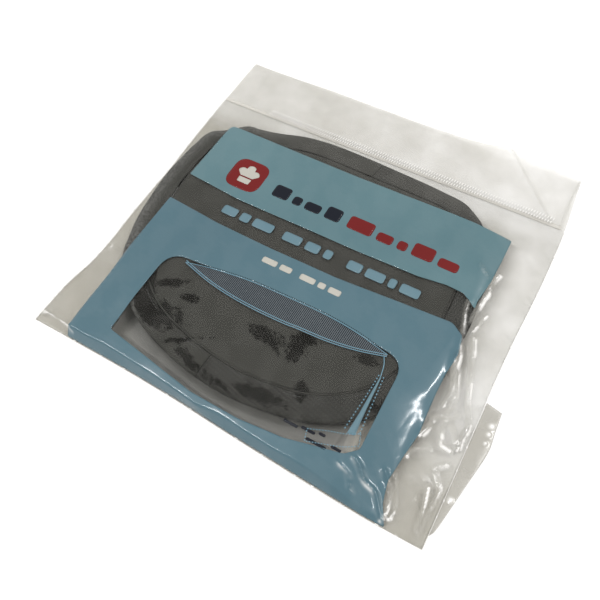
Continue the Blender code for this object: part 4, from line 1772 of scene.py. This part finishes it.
@dataclass
class Closure:
    """The strap at the back of the hat, its hook patch, and the loop patch it fastens to."""

    gauge: float = 0.34 * MM
    stitch_pitch: float = 2.4 * MM
    stitch_inset: float = 1.5 * MM

    def strap(self) -> Piece:
        """The strap, a woven ribbon with trimmed corners and a gentle wave.

        Returns:
            The strap.
        """
        low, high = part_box("closure_strap")
        along, across = np.meshgrid(np.linspace(0.0, 1.0, 81), np.linspace(-1.0, 1.0, 15), indexing="ij")
        trim = 1.0 - 0.12 * smooth_step(np.abs(along - 0.5), 0.465, 0.5)
        x = (low.x + high.x) / 2 + (high.x - low.x) / 2 * across * trim
        y = low.y + (high.y - low.y) * along
        z = (low.z + high.z) / 2 + 0.05 * MM * np.sin(11 * along) * (1 - 0.5 * across**2)
        obj = grid_object("closure_strap_webbing", np.stack([x, y, z], -1))
        add_wall(obj, self.gauge, 0.0)
        obj.data.materials.append(WEBBING.build())
        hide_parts("closure_strap")
        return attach(obj, Body.CLOSURE.value)

    def border(self, name: str, node: str, under: bool, body: Body) -> Piece:
        """A rectangle of stitches just inside a node's edges, on its upper or under face.

        Args:
            name: the piece's name.
            node: the node whose edges it follows.
            under: whether it lies on the under face.
            body: the body that it rides on.

        Returns:
            The stitches as one object.
        """
        low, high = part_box(node)
        left, right = low.x + self.stitch_inset, high.x - self.stitch_inset
        near, far = low.y + self.stitch_inset, high.y - self.stitch_inset
        path = np.array([(left, near), (right, near), (right, far), (left, far), (left, near)])
        z = low.z if under else high.z
        return stitch_row(name, path, z, self.stitch_pitch, body)

    def build(self) -> list[Piece]:
        """Builds the strap and its stitches, and dresses the two patches.

        Returns:
            The new pieces.
        """
        dress(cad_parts["hook_patch"], HOOKS.build())
        dress(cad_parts["loop_patch"], LOOPS.build())
        return [
            self.strap(),
            self.border("hook_patch_stitches", "hook_patch", False, Body.CLOSURE),
            self.border("loop_patch_stitches", "loop_patch", True, Body.HAT),
            self.border("strap_stitches", "closure_strap", True, Body.CLOSURE),
        ]


def join(obj: Piece, extra: Piece) -> None:
    """Adds one object's mesh to another's, merging points that meet.

    Args:
        obj: the object that keeps the mesh.
        extra: the object that is used up.
    """
    shape = bmesh.new()
    shape.from_mesh(obj.data)
    shape.from_mesh(extra.data)
    bmesh.ops.remove_doubles(shape, verts=shape.verts, dist=1e-7)
    shape.to_mesh(obj.data)
    shape.free()
    bpy.data.objects.remove(extra)


# ---------------------------------------------------------------------------------------------
# The studio


def stand(name: str, data: bpy.types.ID, axes: tuple[Vector, Vector, Vector], spot: Vector) -> Piece:
    """Links a camera or a light whose own axes lie along the given ones.

    Args:
        name: its name.
        data: its camera or light data.
        axes: the directions of its X, Y and Z axes.
        spot: where it stands.

    Returns:
        The linked object.
    """
    obj = bpy.data.objects.new(name, data)
    obj.matrix_world = Matrix.Translation(spot) @ Matrix(axes).transposed().to_4x4()
    bpy.context.scene.collection.objects.link(obj)
    return obj


@dataclass
class Studio:
    """The camera, the floor and the lights."""

    azimuth: float = 33.5855
    elevation: float = 60.5242
    roll: float = -4.4717
    distance: float = 0.34024
    target: tuple[float, float, float] = (0.00659, -0.03644, 0.0)

    def camera(self) -> None:
        """Looks down at the target from the azimuth and elevation, with a small roll."""
        azimuth, elevation, roll = (math.radians(a) for a in (self.azimuth, self.elevation, self.roll))
        flat = math.cos(elevation)
        back = Vector((math.sin(azimuth) * flat, -math.cos(azimuth) * flat, math.sin(elevation)))
        level = Vector((0, 0, 1)).cross(back).normalized()
        upright = back.cross(level)
        across = math.cos(roll) * level + math.sin(roll) * upright
        up = math.cos(roll) * upright - math.sin(roll) * level
        data = bpy.data.cameras.new("camera")
        data.lens, data.sensor_width = 36.0, 36.0
        data.clip_start, data.clip_end = 0.01, 20.0
        spot = Vector(self.target) + back * self.distance
        bpy.context.scene.camera = stand("camera", data, (across, up, back), spot)

    def floor(self) -> None:
        """A plain white floor just under the pouch."""
        half = 3.0
        corners = np.array([(-half, -half), (half, -half), (half, half), (-half, half)])
        points = np.column_stack([corners, np.full(4, -0.05 * MM)])
        obj = make_object("floor", points, [[0, 1, 2, 3]], smooth=False)
        white = (0.93, 0.93, 0.93, 1.0)
        graph = Graph("floor_white", Roughness=0.9, Base_Color=white, Specular_IOR_Level=0.1)
        obj.data.materials.append(graph.material)

    def light(
        self, name: str, spot: tuple, length: float, width: float, along: tuple, power: float
    ) -> None:
        """A long narrow soft box that faces the pouch.

        Args:
            name: the light's name.
            spot: where its middle stands.
            length: its long side.
            width: its short side.
            along: the direction its long side keeps to.
            power: its power in watts.
        """
        data = bpy.data.lights.new(name, "AREA")
        data.shape, data.size, data.size_y, data.energy = "RECTANGLE", length, width, power
        back = Vector(spot).normalized()
        across = (Vector(along) - Vector(along).dot(back) * back).normalized()
        stand(name, data, (across, back.cross(across), back), Vector(spot))

    def build(self) -> None:
        """Builds the studio."""
        world = bpy.data.worlds.new("studio")
        world.use_nodes = True
        background = world.node_tree.nodes["Background"]
        background.inputs["Color"].default_value = (1.0, 0.985, 0.96, 1.0)
        background.inputs["Strength"].default_value = 0.75
        bpy.context.scene.world = world
        bpy.context.scene.view_settings.view_transform = "Standard"
        self.camera()
        self.floor()
        self.light("key_light", (-0.50, -0.53, 1.20), 0.8, 0.03, (1, 0, 0), 9.0)
        self.light("back_light", (0.50, 0.50, 1.20), 0.7, 0.03, (0, 1, 0), 7.0)


def main() -> None:
    """Builds the studio, the pouch, the printing and the hat, and reports each piece."""
    logging.basicConfig(level=logging.INFO, format="%(name)s: %(message)s")
    band_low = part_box("side_band_front")[0]
    crown_low, crown_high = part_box("crown_vent_panel")
    crown_middle = (crown_low + crown_high) / 2
    hat_form = HatForm((crown_middle.x, crown_middle.y), crown_middle.z, band_low.z + 0.4 * MM)
    film_low, film_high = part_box("front_film")
    film_form = FilmForm(hat_form, film_low.z, 11.2 * MM, film_high.y + 0.1 * MM)
    Studio().build()
    for assembly in (Pouch(film_form), Printing(film_form), Hat(hat_form), Closure()):
        for piece in assembly.build():
            LOG.info("built %s with %d faces", piece.name, len(piece.data.polygons))


if __name__ == "__main__":
    main()
